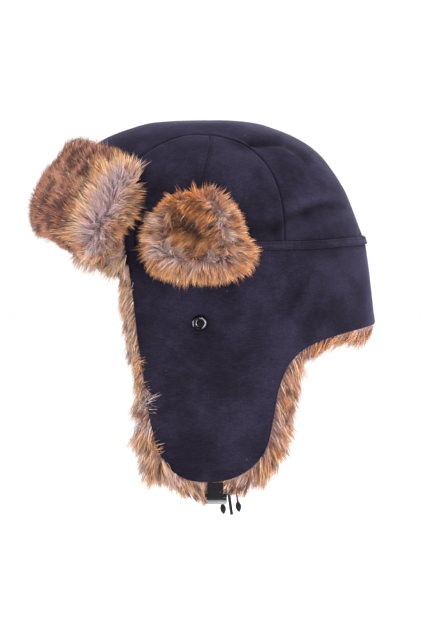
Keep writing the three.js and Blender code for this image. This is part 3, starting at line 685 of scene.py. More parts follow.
def addBand():
    heights, rounding = bandSection.T
    turns = np.linspace(band["browTurn"], 180 - band["browTurn"], band["columns"])
    shape = (len(heights), len(turns))
    seat = pointAt(*gridOf(turns, heights))
    lift = band["proud"] + np.repeat(rounding, len(turns)) + band["wave"] * cloud(seat, 9, 4)
    return addCloth("band_cloth", seat, lift, band["cloth"], shape, ["seam_band"], material="suede band")


cloths.append(addBand())

# The flaps and neck guard, one sheet with a turned hem along its lower edge
flap = dict(
    cloth=2.0, top=-crown["foot"], drop=165, columns=250, rows=42, crumple=0.75, hemWidth=7.0, hemRelief=0.35
)


def flapSeat(u, v):
    along = np.where(u <= 0.5, u * 2, (1 - u) * 2)
    row = readTable(flapEdge, along)
    turn = row[:, 2] + (row[:, 0] - row[:, 2]) * v
    z = flap["top"] + (-row[:, 1] * hatForm["flapDrop"] - flap["top"]) * v
    return pointAt(turn, z) * np.where(u <= 0.5, 1, -1)[:, None] ** np.array([[1, 0, 0]])


def flapRelief(v, seat):
    return reliefAt(seat, folds) * smooth(v * 4)


def addFlaps():
    columns = np.linspace(0, 1, flap["columns"])
    rows = crowded(flap["drop"], flap["drop"] / flap["rows"])
    shape = (len(rows), len(columns))
    u, v = gridOf(columns, rows)
    seat = flapSeat(u, v)
    edge = flapSeat(columns, np.ones(len(columns)))
    toEdge = np.linalg.norm(seat - np.tile(edge, (len(rows), 1)), axis=1)
    lift = flapRelief(v, seat) + reliefAt(seat, creases) * smooth(v * 4) * smooth((1 - v) * 6)
    lift += flap["crumple"] * crumple(seat) * smooth(toEdge / 10) * smooth(v * 8)
    lift += flap["hemRelief"] * (smooth((flap["hemWidth"] + 1 - toEdge) / 2) - 1) * smooth(v * 5)
    lift += 0.5 * seamDip(np.abs(seat[:, 2] - flap["top"]))
    closing = hemRound(toEdge, flap["cloth"])
    return addCloth("flap_cloth", seat, lift, flap["cloth"], shape, ["flap_shell"], closing)


cloths.append(addFlaps())
print("flaps sewn")

# The peak and the vents: a cloth back with deep fur on it
peak = dict(
    browRise=crown["browRise"], halfTurn=64.0, topAtBrow=66.0, topAtEnd=58.0, lowAtEnd=-16.0, hang=14.0,
    cloth=1.8, lean=3.0, laidOn=2.95, breadth=70, underFur=0.35, fur=25.0,
)
peakProfile = np.array(
    [(0, 0.42), (0.1, 0.8), (0.25, 1.02), (0.4, 0.98), (0.55, 0.78), (0.7, 0.57), (0.85, 0.36), (1, 0.3)]
)
vent = dict(
    forward=8.0, rise=4.0, halfLength=37.0, halfHeight=30.0, taper=0.16, squareness=2.6,
    cloth=1.5, lean=0.0, laidOn=2.95, breadth=70, underFur=0.35, fur=13.0,
)


def peakSeat(u, v, hang=0.0):
    p = peak
    side = u * 2 - 1
    away = np.abs(side)
    low = p["browRise"] + (p["lowAtEnd"] - p["browRise"]) * away**1.6 - hang
    high = p["topAtBrow"] + (p["topAtEnd"] - p["topAtBrow"]) * away**2
    half = (high - low) / 2 * (1 - 0.2 * away**8)
    return pointAt(-90 + side * p["halfTurn"], (low + high) / 2 + half * (v * 2 - 1))


def inVent(u, v):  # shares of the vent's half length and half height
    a, b = u * 2 - 1, v * 2 - 1
    square = vent["squareness"]
    return a * np.sqrt(1 - b * b / square), b * np.sqrt(1 - a * a / square)


def ventSeat(u, v):
    p = vent
    along, up = inVent(u, v)
    y = -p["forward"] + along * p["halfLength"] * (1 - p["taper"] * up)
    z = p["rise"] + up * p["halfHeight"]
    return pointAt(turnOf(y, z), z)


def addBack(name, place, look, shape, mirrored=False):
    u, v = gridOf(np.linspace(0, 1, shape[1]), np.linspace(0, 1, shape[0]))
    seat = place(u, v)
    lift = look["laidOn"] + look["lean"] * v**2 + look["cloth"] + 0.15 * cloud(seat, 12, 8)
    toRim = np.minimum(np.minimum(u, 1 - u), np.minimum(v, 1 - v)) * look["breadth"]
    closing = hemRound(toRim, look["cloth"])
    return addCloth(name + "_cloth", seat, lift, look["cloth"], shape, [name], closing, mirrored)


cloths.append(addBack("peak_shell", peakSeat, peak, (26, 90)))
for side, mirrored in (("left", False), ("right", True)):
    cloths.append(addBack(f"vent_shell_{side}", ventSeat, vent, (24, 28), mirrored))
for piece, size, area in cloths:
    print(piece.name, "cut", [round(side, 3) for side in size], "area", round(area, 4))

# Fur: ribbons of three segments in tufts, with the colours of their roots, middles and tips in the mesh
furPalette = {
    "mauve": (198, 174, 184),
    "cream": (246, 206, 168),
    "pale": (236, 208, 184),
    "gold": (232, 178, 118),
    "tan": (212, 156, 112),
    "pink": (212, 148, 136),
    "orange": (214, 134, 64),
    "russet": (166, 97, 83),
    "brown": (108, 55, 46),
    "dark": (66, 27, 24),
}
furPalette = {name: linear(rgb) for name, rgb in furPalette.items()}


def mixed(first, second, share):
    share = np.clip(np.broadcast_to(share, len(first)), 0, 1)[:, None]
    return first * (1 - share) + second * share


def fixed(name, count):
    return np.tile(furPalette[name], (count, 1))


def frameOf(skin, u, v):
    step = 0.002
    p = skin(u, v)
    alongU = (skin(u + step, v) - skin(u - step, v)) / (2 * step)
    alongV = (skin(u, v + step) - skin(u, v - step)) / (2 * step)
    return p, alongU, alongV, np.cross(alongU, alongV)


def scatter(skin, count, seed, span=(0.0, 1.0), thin=None):  # even over the skin's area
    draw = np.random.default_rng(seed)
    u = span[0] + (span[1] - span[0]) * draw.random(count * 4)
    v = draw.random(count * 4)
    u, v = np.clip(u, 0.003, 0.997), np.clip(v, 0.003, 0.997)
    weight = np.linalg.norm(frameOf(skin, u, v)[3], axis=1)
    if thin is not None:
        weight = weight * thin(u, v)
    keep = np.argsort(draw.random(len(u)) ** (1 / np.maximum(weight, 1e-9)))[-count:]
    return u[keep], v[keep]


def growFur(name, centre, normal, comb, look, paint, seed):
    draw = np.random.default_rng(seed)
    count, per = len(centre), look["perTuft"]
    total = count * per
    tuft = np.repeat(np.arange(count), per)
    normal, comb = unit(normal), unit(comb)
    across = unit(np.cross(normal, comb))

    def heading(n, c, a, lifts, sway):
        return [unit(c * np.cos(x)[:, None] + n * np.sin(x)[:, None] + a * sway[:, None]) for x in lifts]

    def walk(start, headings, length, drop):
        stations = [start]
        for k, way in enumerate(headings):
            way = way - np.array([0, 0, 1]) * drop * k
            stations.append(stations[-1] + unit(way) * (length / 3)[:, None])
        return stations

    tuftLift = [np.full(count, x) + look["unrest"] * draw.normal(0, 0.5, count) for x in look["lift"]]
    tuftSway = look["unrest"] * draw.normal(0, 0.6, count)
    tuftLength = look["lengths"] * (1 + 0.16 * draw.normal(0, 1, count)).clip(0.6, 1.45)
    spine = walk(centre, heading(normal, comb, across, tuftLift, tuftSway), tuftLength, look["drop"])

    radius = look["tuftRadius"] * np.sqrt(draw.random(total))
    angle = 2 * np.pi * draw.random(total)
    n, c, a = normal[tuft], comb[tuft], across[tuft]
    root = centre[tuft] + c * (radius * np.cos(angle))[:, None] + a * (radius * np.sin(angle))[:, None]
    root = root - n * (look["rootDepth"] * draw.random(total))[:, None]
    lifts = [tuftLift[k][tuft] + look["unrest"] * draw.normal(0, 0.5, total) for k in range(3)]
    sway = tuftSway[tuft] + look["unrest"] * draw.normal(0, 0.5, total)
    length = tuftLength[tuft] * (0.7 + 0.5 * draw.random(total) + 0.35 * draw.random(total) ** 8)
    path = walk(root, heading(n, c, a, lifts, sway), length, look["drop"])
    gather = look["gather"] * (0.55 + 0.6 * draw.random(total))
    for k in range(1, 4):
        share = (gather * (k / 3) ** 1.4).clip(0, 0.95)[:, None]
        path[k] = path[k] * (1 - share) + spine[k][tuft] * share

    twist = draw.normal(0, 0.7, total)[:, None]
    way = unit(path[3] - path[0])
    flatTo = n * np.cos(twist) + np.cross(way, n) * np.sin(twist)
    side = unit(np.cross(way, flatTo))
    width = look["width"] * (0.6 + 1.3 * draw.random(total) ** 2)
    points = np.empty((total, 7, 3))
    for k, share in enumerate((0.8, 1.0, 0.62)):
        half = side * (width * share / 2)[:, None]
        points[:, 2 * k], points[:, 2 * k + 1] = path[k] - half, path[k] + half
    points[:, 6] = path[3]

    shades = paint(tuft, path)
    tone = np.exp(look["mottle"] * draw.normal(0, 1, total)).clip(0.5, 1.9)[:, None]
    tone = 0.84 * tone * np.exp(look["tuftMottle"] * draw.normal(0, 1, count))[tuft][:, None]
    warm = 1 + 0.06 * draw.normal(0, 1, total)[:, None] * np.array([[1, 0, -1]])
    pale = (draw.random(total) < look["guardHairs"])[:, None]  # long pale hairs among the others
    shades[2] = np.where(pale, furPalette["cream"], shades[2])
    shades[3] = np.where(pale, furPalette["tan"], shades[3])
    painted = np.ones((total, 7, 4), np.float32)
    for k, spot in enumerate((0, 0, 1, 1, 2, 2, 3)):
        painted[:, k, :3] = (shades[spot] * tone * warm).clip(0, 1)

    start = np.arange(total)[:, None] * 7
    quads = np.concatenate([start + [0, 1, 3, 2], start + [2, 3, 5, 4]])
    tips = start + [4, 5, 6]
    piece = addPiece(name, points.reshape(-1, 3), [quads, tips], materials["fur"])
    layer = piece.data.color_attributes.new("strand", "FLOAT_COLOR", "POINT")
    layer.data.foreach_set("color", painted.ravel())
    addStrandMap(piece.data, total)
    return piece


def addStrandMap(mesh, total):  # each ribbon has its own small cell, so that a bake can hold its colours
    across = int(np.ceil(np.sqrt(total * 3)))
    down = int(np.ceil(total / across))
    strand = np.arange(total)
    left, low = (strand % across) / across, (strand // across) / down
    w, h = 0.8 / across, 0.9 / down
    spots = np.array([(0, 0), (1, 0), (0, 0.34), (1, 0.34), (0, 0.68), (1, 0.68), (0.5, 1)])
    x, y = left[:, None] + w * (0.1 + spots[:, 0]), low[:, None] + h * (0.05 + spots[:, 1])
    corner = np.stack([x, y], axis=-1)
    faces = ([0, 1, 3, 2], [2, 3, 5, 4], [4, 5, 6])
    flat = np.concatenate([corner[:, face].reshape(-1, 2) for face in faces])
    layer = mesh.uv_layers.new(name="OFBake", do_init=False)
    layer.uv.foreach_set("vector", flat.astype(np.float32).ravel())


def makeFurMaterial(name):
    material, tree, shader = newMaterial(
        name,
        Roughness=0.42,
        Specular_IOR_Level=0.35,
        Sheen_Weight=0.25,
        Sheen_Roughness=0.35,
        Sheen_Tint=(*linear((255, 226, 196)), 1),
    )
    strand = addNode(tree, "ShaderNodeVertexColor", layer_name="strand").outputs["Color"]
    where = addNode(tree, "ShaderNodeTexCoord").outputs["Object"]
    tone = placeGroup(tree, furGroup, {"Scale": 60.0, "Depth": 0.25})
    tree.links.new(where, tone.inputs["Vector"])
    tree.links.new(strand, tone.inputs["Color"])
    joinFinish(tree, shader, tone)
    return material


def makeFurGroup():
    group, into, out = newGroup(
        "fur tone",
        [
            ("Vector", "NodeSocketVector", (0, 0, 0)),
            ("Color", "NodeSocketColor", (0.5, 0.3, 0.15, 1)),
            ("Scale", "NodeSocketFloat", 60.0),
            ("Depth", "NodeSocketFloat", 0.25),
        ],
        finishOutputs[:2],
    )
    found = noiseAt(group, into.outputs["Vector"], into.outputs["Scale"], 3.0, 0.6)
    darker = mixColour(group, 1.0, into.outputs["Color"], (0.62, 0.55, 0.52), "MULTIPLY")
    share = math(group, "MULTIPLY", remap(group, found, 0.35, 0.65), into.outputs["Depth"])
    group.links.new(mixColour(group, share, into.outputs["Color"], darker), out.inputs["Color"])
    group.links.new(remap(group, found, 0.3, 0.7, 0.38, 0.55), out.inputs["Roughness"])
    return group


def makeFurBase(name, deep, pale):
    material, tree, shader = newMaterial(name, Roughness=0.9)
    where = addNode(tree, "ShaderNodeTexCoord").outputs["Object"]
    tone = placeGroup(tree, furGroup, {"Scale": 400.0, "Depth": 0.9})
    tree.links.new(where, tone.inputs["Vector"])
    patches = remap(tree, noiseAt(tree, where, 90.0, 4.0), 0.35, 0.65)
    tree.links.new(mixColour(tree, patches, tuple(linear(deep)), tuple(linear(pale))), tone.inputs["Color"])
    tree.links.new(tone.outputs["Color"], shader.inputs["Base Color"])
    addBump(tree, shader, noiseAt(tree, where, 900.0, 3.0), 0.8, 0.001)
    return material


furGroup = makeFurGroup()
materials["fur"] = makeFurMaterial("fur")
materials["fur base"] = makeFurBase("fur base", (118, 88, 84), (172, 144, 142))
materials["lining base"] = makeFurBase("lining base", (140, 104, 84), (196, 160, 136))


def dome(t, reach):  # rises steeply from an edge and turns level
    return np.sqrt(np.clip(1 - (1 - np.clip(t * reach, 0, 1)) ** 2, 0, 1))


def addFurBase(name, skin, floor, shape, replaced):
    u, v = gridOf(np.linspace(0, 1, shape[1]), np.linspace(0, 1, shape[0]))
    points = np.concatenate([skin(u, v), floor(u, v)])
    faces = facingOut(points, sheetFaces(*shape))
    piece = addPiece(name, points, [faces], materials["fur base"])
    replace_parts(piece, *replaced)


# The peak's fur: it lies forwards and backwards from a parting near each end
peakLook = dict(
    tufts=3200, perTuft=9, tuftRadius=2.2, rootDepth=2.0, lift=(0.9, 0.5, 0.25), unrest=0.36, drop=0.03,
    gather=0.55, width=0.38, mottle=0.13, tuftMottle=0.1, guardHairs=0.05, depth=0.74, length=12.0,
    halfRun=118,
)
partAt = np.array([(0, 0.9), (0.17, 0.865), (0.5, 0.86), (0.75, 0.895), (0.9, 0.94), (1, 0.98)])


def slitAt(away):  # the height of the crease above the brow's roll
    return 0.1 + 0.04 * smooth((away - 0.1) / 0.6) - 0.13 * smooth((away - 0.7) / 0.17)


def peakSkin(u, v, depth=None):
    depth = peakLook["depth"] if depth is None else depth
    p = peak
    away = np.abs(u * 2 - 1)
    u = 0.5 + (u - 0.5) * (1 - 0.06 * smooth((away - 0.4) / 0.6) * smooth((0.55 - v) / 0.35))
    v = v + (1 - v) * 0.13 * smooth((away - 0.83) / 0.15)  # the lower rear corners are drawn in and up
    seat = peakSeat(u, v, p["hang"])
    valley = slitAt(away)
    slit = 1 - 0.45 * np.exp(-(((v - valley) / 0.03) ** 2)) * smooth(away * 4 - 0.6)
    profile = readTable(peakProfile, np.clip(v, 0, 1))[:, 0] * slit
    rim = dome(np.minimum(u, 1 - u), 9) * dome(v, 9) * (0.55 + 0.45 * dome(1 - v, 10))
    base = p["laidOn"] + p["lean"] * v**2 + p["cloth"] + p["underFur"]
    return seat + outwardAt(seat) * (base + p["fur"] * profile * rim * depth)[:, None]


def growPeak(side, seed):
    look = peakLook
    span = (0.5, 1.0) if side > 0 else (0.0, 0.5)
    u, v = scatter(peakSkin, look["tufts"], seed, span)
    centre, alongU, alongV, normal = frameOf(peakSkin, u, v)
    alongU, alongV, normal = unit(alongU), unit(alongV), unit(normal)
    s = np.abs(u * 2 - 1)
    part = readTable(partAt, v)[:, 0]
    wander = 0.025 * cloud(centre, 16, 11)
    fromPart = (part + wander - s) * look["halfRun"]  # millimetres ahead of the parting
    forward = -side * alongU
    ahead = fromPart > 0
    tiltAhead = np.radians(-22 + 52 * smooth(v / 0.7))
    tiltBehind = np.radians(-45 + 95 * v)
    tilt = np.where(ahead, tiltAhead, tiltBehind)
    turning = np.tanh(fromPart / 8 + 1.1 * cloud(centre, 4, 12))  # the parting wanders and its hairs stand up
    level = np.cos(tilt) * turning * np.where(ahead, smooth(s / 0.3), 1)
    rise = np.where(ahead & (s < 0.3), np.sin(tilt) + (v - 0.4) * 1.4 * (1 - smooth(s / 0.3)), np.sin(tilt))
    crease = slitAt(s)
    low = smooth((crease + 0.02 - v) / 0.03) * smooth((0.9 - s) / 0.05)
    corner = smooth((s - 0.86) / 0.06) * smooth((0.3 - v) / 0.2)
    over = smooth((crease + 0.13 - v) / 0.1) * (1 - low) * smooth((s - 0.62) / 0.1)
    rise = rise * (1 - low) - 0.45 * low + 0.8 * over
    top = smooth((v - 0.8) / 0.15)
    rise = rise + 1.1 * top
    comb = forward * level[:, None] + alongV * rise[:, None] + 0.3 * swirl(centre, alongU, alongV)
    comb = comb + normal * (0.3 * (1 - np.abs(turning)))[:, None]
    # Painted shade: strands in the slit above the roll are darkened where the crease is in shadow
    slitShade = np.exp(-(((v - crease) / 0.022) ** 2)) * smooth((s - 0.6) / 0.1) * smooth((0.92 - s) / 0.04)

    def paint(tuft, path):
        n, off, bottom = len(tuft), fromPart[tuft], low[tuft]
        streak = cloud(path[1], 9, 23)
        front, behind = smooth((off - 13) / 12), smooth((-off - 5) / 6)
        height = v[tuft]
        mauve = np.exp(-((off / (8.5 - 2.2 * smooth((height - 0.55) / 0.35))) ** 2)) * (1 - bottom)
        middle = smooth((height - 0.04) / 0.14) * (1 - 0.6 * smooth((height - 0.84) / 0.12))
        mauve *= middle + 0.8 * bottom * smooth(2 * cloud(path[1], 12, 24) + 0.5)
        orange = (0.2 + 0.8 * streak + 0.35 * front + 0.35 * behind) * (1 - 0.5 * bottom)
        base = mixed(mixed(fixed("cream", n), fixed("gold", n), 0.4), fixed("orange", n), orange)
        shades = [mixed(fixed("mauve", n), fixed("brown", n), 0.25 * (1 - mauve) + 0.4 * front)]
        for k, deep in ((1, "brown"), (2, "dark"), (3, "dark")):
            x, y, z = path[k].T
            # The spots are drawn out down the front
            laid = np.column_stack([0.6 * x, -0.2 * y - 0.34 * z, 0.87 * y - 0.5 * z])
            spots = cloud(laid, 4.6, 21) + 0.5 * cloud(path[k], 15, 22) + 0.4 * cloud(laid, 2.2, 26)
            offMauve = smooth((off - 10) / 8) + 0.75 * behind
            dark = smooth((spots + 0.09) / 0.24) * offMauve * (1 - 0.5 * bottom)
            pink = front * (0.42 + 0.8 * cloud(path[k], 9, 25))
            russet = (0.55 + 0.5 * cloud(laid, 9, 27)) * front
            brown = (0.16 + 0.14 * smooth((height - 0.7) / 0.2)) * front + 0.12 * behind
            shade = mixed(mixed(base, fixed("pink", n), pink), fixed("russet", n), russet)
            shade = mixed(shade, fixed("brown", n), brown)
            shade = mixed(shade, fixed(deep, n), dark * (0.8 + 0.05 * k))
            shade = mixed(shade, fixed("mauve", n), mauve * (1.15 - 0.13 * k))
            shades.append(mixed(shade, fixed("dark", n), slitShade[tuft]))
        return shades

    lengths = look["length"] * (0.8 + 0.2 * smooth((1 - v) / 0.5)) * (1 + 0.1 * top)
    behindPart = np.where(ahead, 1, 0.82 + 0.25 * top)
    lengths *= behindPart * (1 - 0.5 * low) * (1 - 0.35 * corner) * (1 - 0.4 * over)
    name = "peak_fur_left" if side > 0 else "peak_fur_right"
    return growFur(name, centre, normal, comb, dict(look, lengths=lengths), paint, seed)


def swirl(p, alongU, alongV):
    return alongU * cloud(p, 13, 31)[:, None] + alongV * cloud(p, 13, 32)[:, None]


addFurBase("peak_fur_base", peakSkin, lambda u, v: peakSkin(u, v, 0.0), (30, 100), ["peak_fur"])
growPeak(1, 11)
growPeak(-1, 12)
print("peak furred")

# The vents' fur: inwards to a whorl and outwards over the rim, from a parting all round
ventLook = dict(
    tufts=1850, perTuft=9, tuftRadius=2.2, rootDepth=2.0, lift=(0.85, 0.45, 0.22), unrest=0.36, drop=0.02,
    gather=0.6, width=0.38, mottle=0.16, tuftMottle=0.12, guardHairs=0.06, depth=0.68, length=13.0,
    whorl=(-0.3, 0.2), whorlEnd=(0.2, -0.18), ring=(-0.06, 0.12, 0.7, 0.76), pulledIn=6.0,
)


def ventSkin(u, v, depth=None):
    depth = ventLook["depth"] if depth is None else depth
    seat = ventSeat(u, v)
    pulled = ventLook["pulledIn"] * smooth((u - 0.55) / 0.45) * smooth((v - 0.22) / 0.3)
    seat = pointAt(turnOf(seat[:, 1] - pulled, seat[:, 2]), seat[:, 2])
    rim = dome(np.minimum(u, 1 - u), 5) * dome(np.minimum(v, 1 - v), 5)
    base = vent["laidOn"] + vent["cloth"] + vent["underFur"]
    return seat + outwardAt(seat) * (base + vent["fur"] * rim * depth)[:, None]


def mirroredPaint(paint, flip):  # the far side is painted as the near one's mirror image
    return lambda tuft, path: paint(tuft, [station * flip for station in path])


def growVent(side, seed):
    look = ventLook
    u, v = scatter(ventSkin, look["tufts"], seed)
    centre, alongU, alongV, normal = frameOf(ventSkin, u, v)
    alongU, alongV, normal = unit(alongU), unit(alongV), unit(normal)
    p, q = inVent(u, v)
    halfLength, halfHeight = vent["halfLength"], vent["halfHeight"]
    x0, y0, rx, ry = look["ring"]
    wander = 0.07 * cloud(centre, 14, 41)
    n = vent["squareness"]
    ring = (np.abs((p - x0) / rx) ** n + np.abs((q - y0) / ry) ** n) ** (1 / n) + wander
    (wx, wy), (ex, ey) = look["whorl"], look["whorlEnd"]
    run = (ex - wx) ** 2 + (ey - wy) ** 2
    t = np.clip(((p - wx) * (ex - wx) + (q - wy) * (ey - wy)) / run, 0, 1) * 0.85
    toWhorl = np.column_stack([(wx + t * (ex - wx) - p) * halfLength, (wy + t * (ey - wy) - q) * halfHeight])
    away = np.linalg.norm(toWhorl, axis=1)
    inside = ring < 1
    turning = np.tanh((ring - 1) / 0.24 + 1.3 * cloud(centre, 5, 42))
    inward = toWhorl / np.maximum(away, 1)[:, None]
    outward = np.column_stack([(p - x0) * halfLength, (q - y0) * halfHeight])
    outward /= np.maximum(np.linalg.norm(outward, axis=1), 1)[:, None]
    outer = (turning / 2 + 0.5)[:, None]
    way = inward * (1 - outer) + outward * outer
    comb = alongU * way[:, :1] + alongV * way[:, 1:] + 0.3 * swirl(centre, alongU, alongV)
    comb = comb + normal * (0.3 * (1 - np.abs(turning)))[:, None]
    top = smooth((q - 0.35) / 0.4) * smooth((0.45 - p) / 0.4)
    mauve = np.exp(-(((ring - 1) / 0.12) ** 2)) * (1 - top) * (1.0 + 1.1 * cloud(centre, 12, 53))
    spot = ventSkin(np.array([0.33]), np.array([0.61]))

    def paint(tuft, path):
        n, within, purple = len(tuft), inside[tuft], mauve[tuft]
        streak = cloud(path[1], 9, 52)
        orange = np.where(within, 0.9, 0.6) + 0.7 * streak + 0.5 * top[tuft]
        base = mixed(mixed(fixed("cream", n), fixed("gold", n), 0.6), fixed("orange", n), orange)
        shades = [mixed(fixed("mauve", n), fixed("brown", n), np.where(within, 0.6, 0.3))]
        for k, deep in ((1, "brown"), (2, "dark"), (3, "dark")):
            here = path[k] - spot
            here[:, 2] += 0.35 * here[:, 1]  # the dark middle runs out backwards and down
            here = np.hypot(here[:, 1] / np.where(here[:, 1] > 0, 19, 9), here[:, 2] / 7.5)
            near = np.exp(-(here**2) * (1 + 1.4 * cloud(path[k], 6, 55)))
            spots = cloud(path[k], 6.5, 51) + 0.3 * cloud(path[k], 3.0, 54)
            dark = smooth((spots - 0.02) / 0.16) * np.where(within, 0.85, 0.6) * (1 - 0.8 * purple.clip(0, 1))
            dark = dark * (1 - 0.4 * top[tuft]) + near * (0.6 + 0.3 * k)
            lilac = mixed(fixed("mauve", n), fixed("pale", n), 0.45)
            shade = mixed(base, fixed("russet", n), 0.16 + 0.2 * ~within * smooth((p[tuft] + 0.3) / 0.6))
            shade = mixed(shade, lilac, purple * (1.15 - 0.1 * k))
            shades.append(mixed(shade, fixed(deep, n), dark))
        return shades

    right = smooth((p - 0.2) / 0.4) * smooth((q + 0.45) / 0.3)
    inner, outer = np.minimum(look["length"], away * 0.8 + 5), look["length"] * (0.92 - 0.25 * right)
    lengths = np.where(inside, inner, outer)
    lengths *= 1 - 0.4 * top * ~inside
    lengths *= 1 + 0.12 * np.exp(-(((p - 0.95) / 0.3) ** 2) - ((q + 0.4) / 0.2) ** 2)
    flip = np.array([[side, 1, 1]])
    name = "vent_fur_left_strands" if side > 0 else "vent_fur_right_strands"
    look = dict(look, lengths=lengths)
    return growFur(name, centre * flip, normal * flip, comb * flip, look, mirroredPaint(paint, flip), seed)


for side, label in ((1, "left"), (-1, "right")):
    flip = np.array([[side, 1, 1]])
    addFurBase(
        f"vent_fur_{label}_base",
        lambda u, v: ventSkin(u, v) * flip,
        lambda u, v: ventSkin(u, v, 0.0) * flip,
        (30, 34),
        [f"vent_fur_{label}"],
    )
    growVent(side, 20 + side)
print("vents furred")

# The lining's fur: a roll round the flaps' lower edge, and the pile inside them
liningLook = dict(
    perTuft=8, tuftRadius=2.3, rootDepth=1.5, lift=(0.55, 0.35, 0.2), unrest=0.3, drop=0.1,
    gather=0.55, width=0.44, mottle=0.14, tuftMottle=0.1, guardHairs=0.06, length=12.5, seatDepth=2.35,
    thickness=8.0, offEdge=4.0, leftTab=4.0, rightTab=11.0,
)
insideLook = dict(liningLook, perTuft=6, tuftRadius=3.8, width=1.1, length=14.0)


def liningSeat(u, v):
    seat = flapSeat(u, np.clip(v, 0, 1))
    return seat, outwardAt(seat)


def lowFront(p):  # 1 along the lower part of the front edges, where the roll is fullest
    return smooth((-126 - p[:, 2]) / 34) * smooth((190 + p[:, 2]) / 18) * smooth((-6 - p[:, 1]) / 16)


def offEdgeAt(u):
    ones = np.ones_like(u)
    ahead = flapSeat(np.clip(u + 0.01, 0, 1), ones) - flapSeat(np.clip(u - 0.01, 0, 1), ones)
    return unit(np.cross(ahead, outwardAt(flapSeat(u, ones))))


def upperFront(p):
    return smooth((p[:, 2] + 110) / 40) * smooth((-p[:, 1] - 10) / 20)


def lowRear(p):
    return smooth((-88 - p[:, 2]) / 30) * smooth((p[:, 1] - 15) / 25)


def rimSkin(u, v):  # v runs round the roll from the cloth's hem to the inside
    ones = np.ones_like(u)
    seat, outward = liningSeat(u, ones)
    off = offEdgeAt(u)
    turn = v * np.pi
    half = liningLook["thickness"] / 2
    grown = 1 + 1.6 * lowFront(seat) + 1.3 * lowRear(seat) + 2.0 * upperFront(seat)
    grown += 1.1 * smooth((-182 - seat[:, 2]) / 8) + 0.6 * smooth((-seat[:, 2] - 100) / 20)
    middle = seat + outward * (flapRelief(ones, seat) - liningLook["seatDepth"] - half)[:, None]
    away, across = liningLook["offEdge"] * grown * np.sin(turn), half * np.cos(turn)
    return middle + off * away[:, None] + outward * across[:, None]


def insideSkin(u, v):
    seat, outward = liningSeat(u, v)
    depth = liningLook["seatDepth"] + liningLook["thickness"]
    return seat + outward * (flapRelief(v, seat) - depth)[:, None]


def paintLining(tuft, path):
    n, p = len(tuft), path[1]
    streak = cloud(p, 10, 62)
    low, back = smooth((-p[:, 2] - 105) / 60), smooth((p[:, 1] - 20) / 60)
    orange = 0.5 * streak + 0.15 * low + 0.3 * back
    high = smooth((p[:, 2] + 90) / 50)
    mauve = 0.78 * smooth(cloud(p, 12, 65) * 2.2 + 0.5) * (1 - 0.5 * back) * (1 - 0.7 * high)
    brow, front = upperFront(p), lowFront(p)
    golden = (0.42 + 0.6 * back + 0.9 * cloud(p, 14, 68)) * (1 - 0.45 * brow)
    base = mixed(mixed(fixed("pale", n), fixed("gold", n), golden), fixed("pink", n), 0.16 * brow)
    base = mixed(base, fixed("orange", n), orange * (1 - 0.5 * brow))
    base = mixed(base, fixed("russet", n), 0.25 * back + 0.1 * low)
    shades = [fixed("mauve", n)]
    for k, deep in ((1, "russet"), (2, "brown"), (3, "brown")):
        spots = cloud(path[k], 7.5, 61) + 0.3 * cloud(path[k], 3.0, 67)
        dark = smooth((spots - 0.17) / 0.12) * (0.72 + 0.25 * low) * (1 - 0.6 * brow) * (1 - 0.4 * front)
        shades.append(mixed(mixed(base, fixed("mauve", n), mauve * (1.2 - 0.25 * k)), fixed(deep, n), dark))
    return shades


def besideStrap(p):  # 1 where a tab hangs from the flap's edge
    across = np.where(p[:, 0] > 0, liningLook["leftTab"], liningLook["rightTab"])
    return smooth((8.5 - np.abs(p[:, 1] - across)) / 3) * smooth((-p[:, 2] - 165) / 10)


def growRim(name, span, tufts, seed):
    u, v = scatter(rimSkin, tufts, seed, span, lambda u, v: 1 - besideStrap(rimSkin(u, v)) * (v < 0.5))
    centre, alongU, _, normal = frameOf(rimSkin, u, v)
    normal = unit(normal)
    off = offEdgeAt(u)
    inward = -outwardAt(flapSeat(u, np.ones_like(u)))
    facing = np.where((np.einsum("ij,ij->i", normal, off) < -0.01)[:, None], -normal, normal)
    facing = unit(facing * 0.6 + off * 0.5)
    down = alongU * np.where(alongU[:, 2:] > 0, -1, 1)
    down = unit(down) * np.clip(np.abs(unit(down)[:, 2:]) * 5, 0, 1)
    full = lowFront(centre)
    upper = upperFront(centre)  # short pile beside the face
    inwards = 0.25 * np.cos((1 - v) * np.pi)
    comb = off * (0.45 - 0.3 * upper)[:, None] + down * 0.85 + inward * inwards[:, None]
    comb = comb + swirl(centre, unit(alongU), off) * (0.75 - 0.4 * upper)[:, None]
    curl = smooth(cloud(centre, 9, 66) * 2.2 - 0.1) * full * smooth((0.42 - v) / 0.2)
    comb = comb - off * (1.5 * curl)[:, None] - inward * (0.7 * curl)[:, None]
    comb = comb + inward * (0.8 * besideStrap(centre) + 0.7 * smooth((centre[:, 1] - 85) / 25))[:, None]
    beside = smooth((-centre[:, 2] - 180) / 8) * smooth((24 - np.abs(centre[:, 1] - 10)) / 10)
    lengths = liningLook["length"] * (0.98 + 0.75 * cloud(centre, 13, 63)) * (1 + 0.35 * full)
    lengths = lengths * (1 - 0.35 * upper) * (1 - 0.3 * beside)
    return growFur(name, centre, facing, comb, dict(liningLook, lengths=lengths), paintLining, seed)


def growInside(name, span, tufts, seed):
    u, v = scatter(insideSkin, tufts, seed, span)
    centre, alongU, alongV = frameOf(insideSkin, u, v)[:3]
    alongU, alongV = unit(alongU), unit(alongV)
    outward = liningSeat(u, v)[1]
    comb = alongV * np.where(alongV[:, 2:] > 0, -1, 1) + 0.35 * swirl(centre, alongU, alongV)
    lengths = insideLook["length"] * (0.9 + 0.3 * cloud(centre, 12, 64))
    return growFur(name, centre, -outward, comb, dict(insideLook, lengths=lengths), paintLining, seed)


cornerLook = dict(
    tufts=180, length=12.0, ahead=-104.0, behind=-64.5, top=-3.0,
    drop=9.0, dropBehind=23.0, sag=8.5, proud=2.8, rolled=4.5,
)


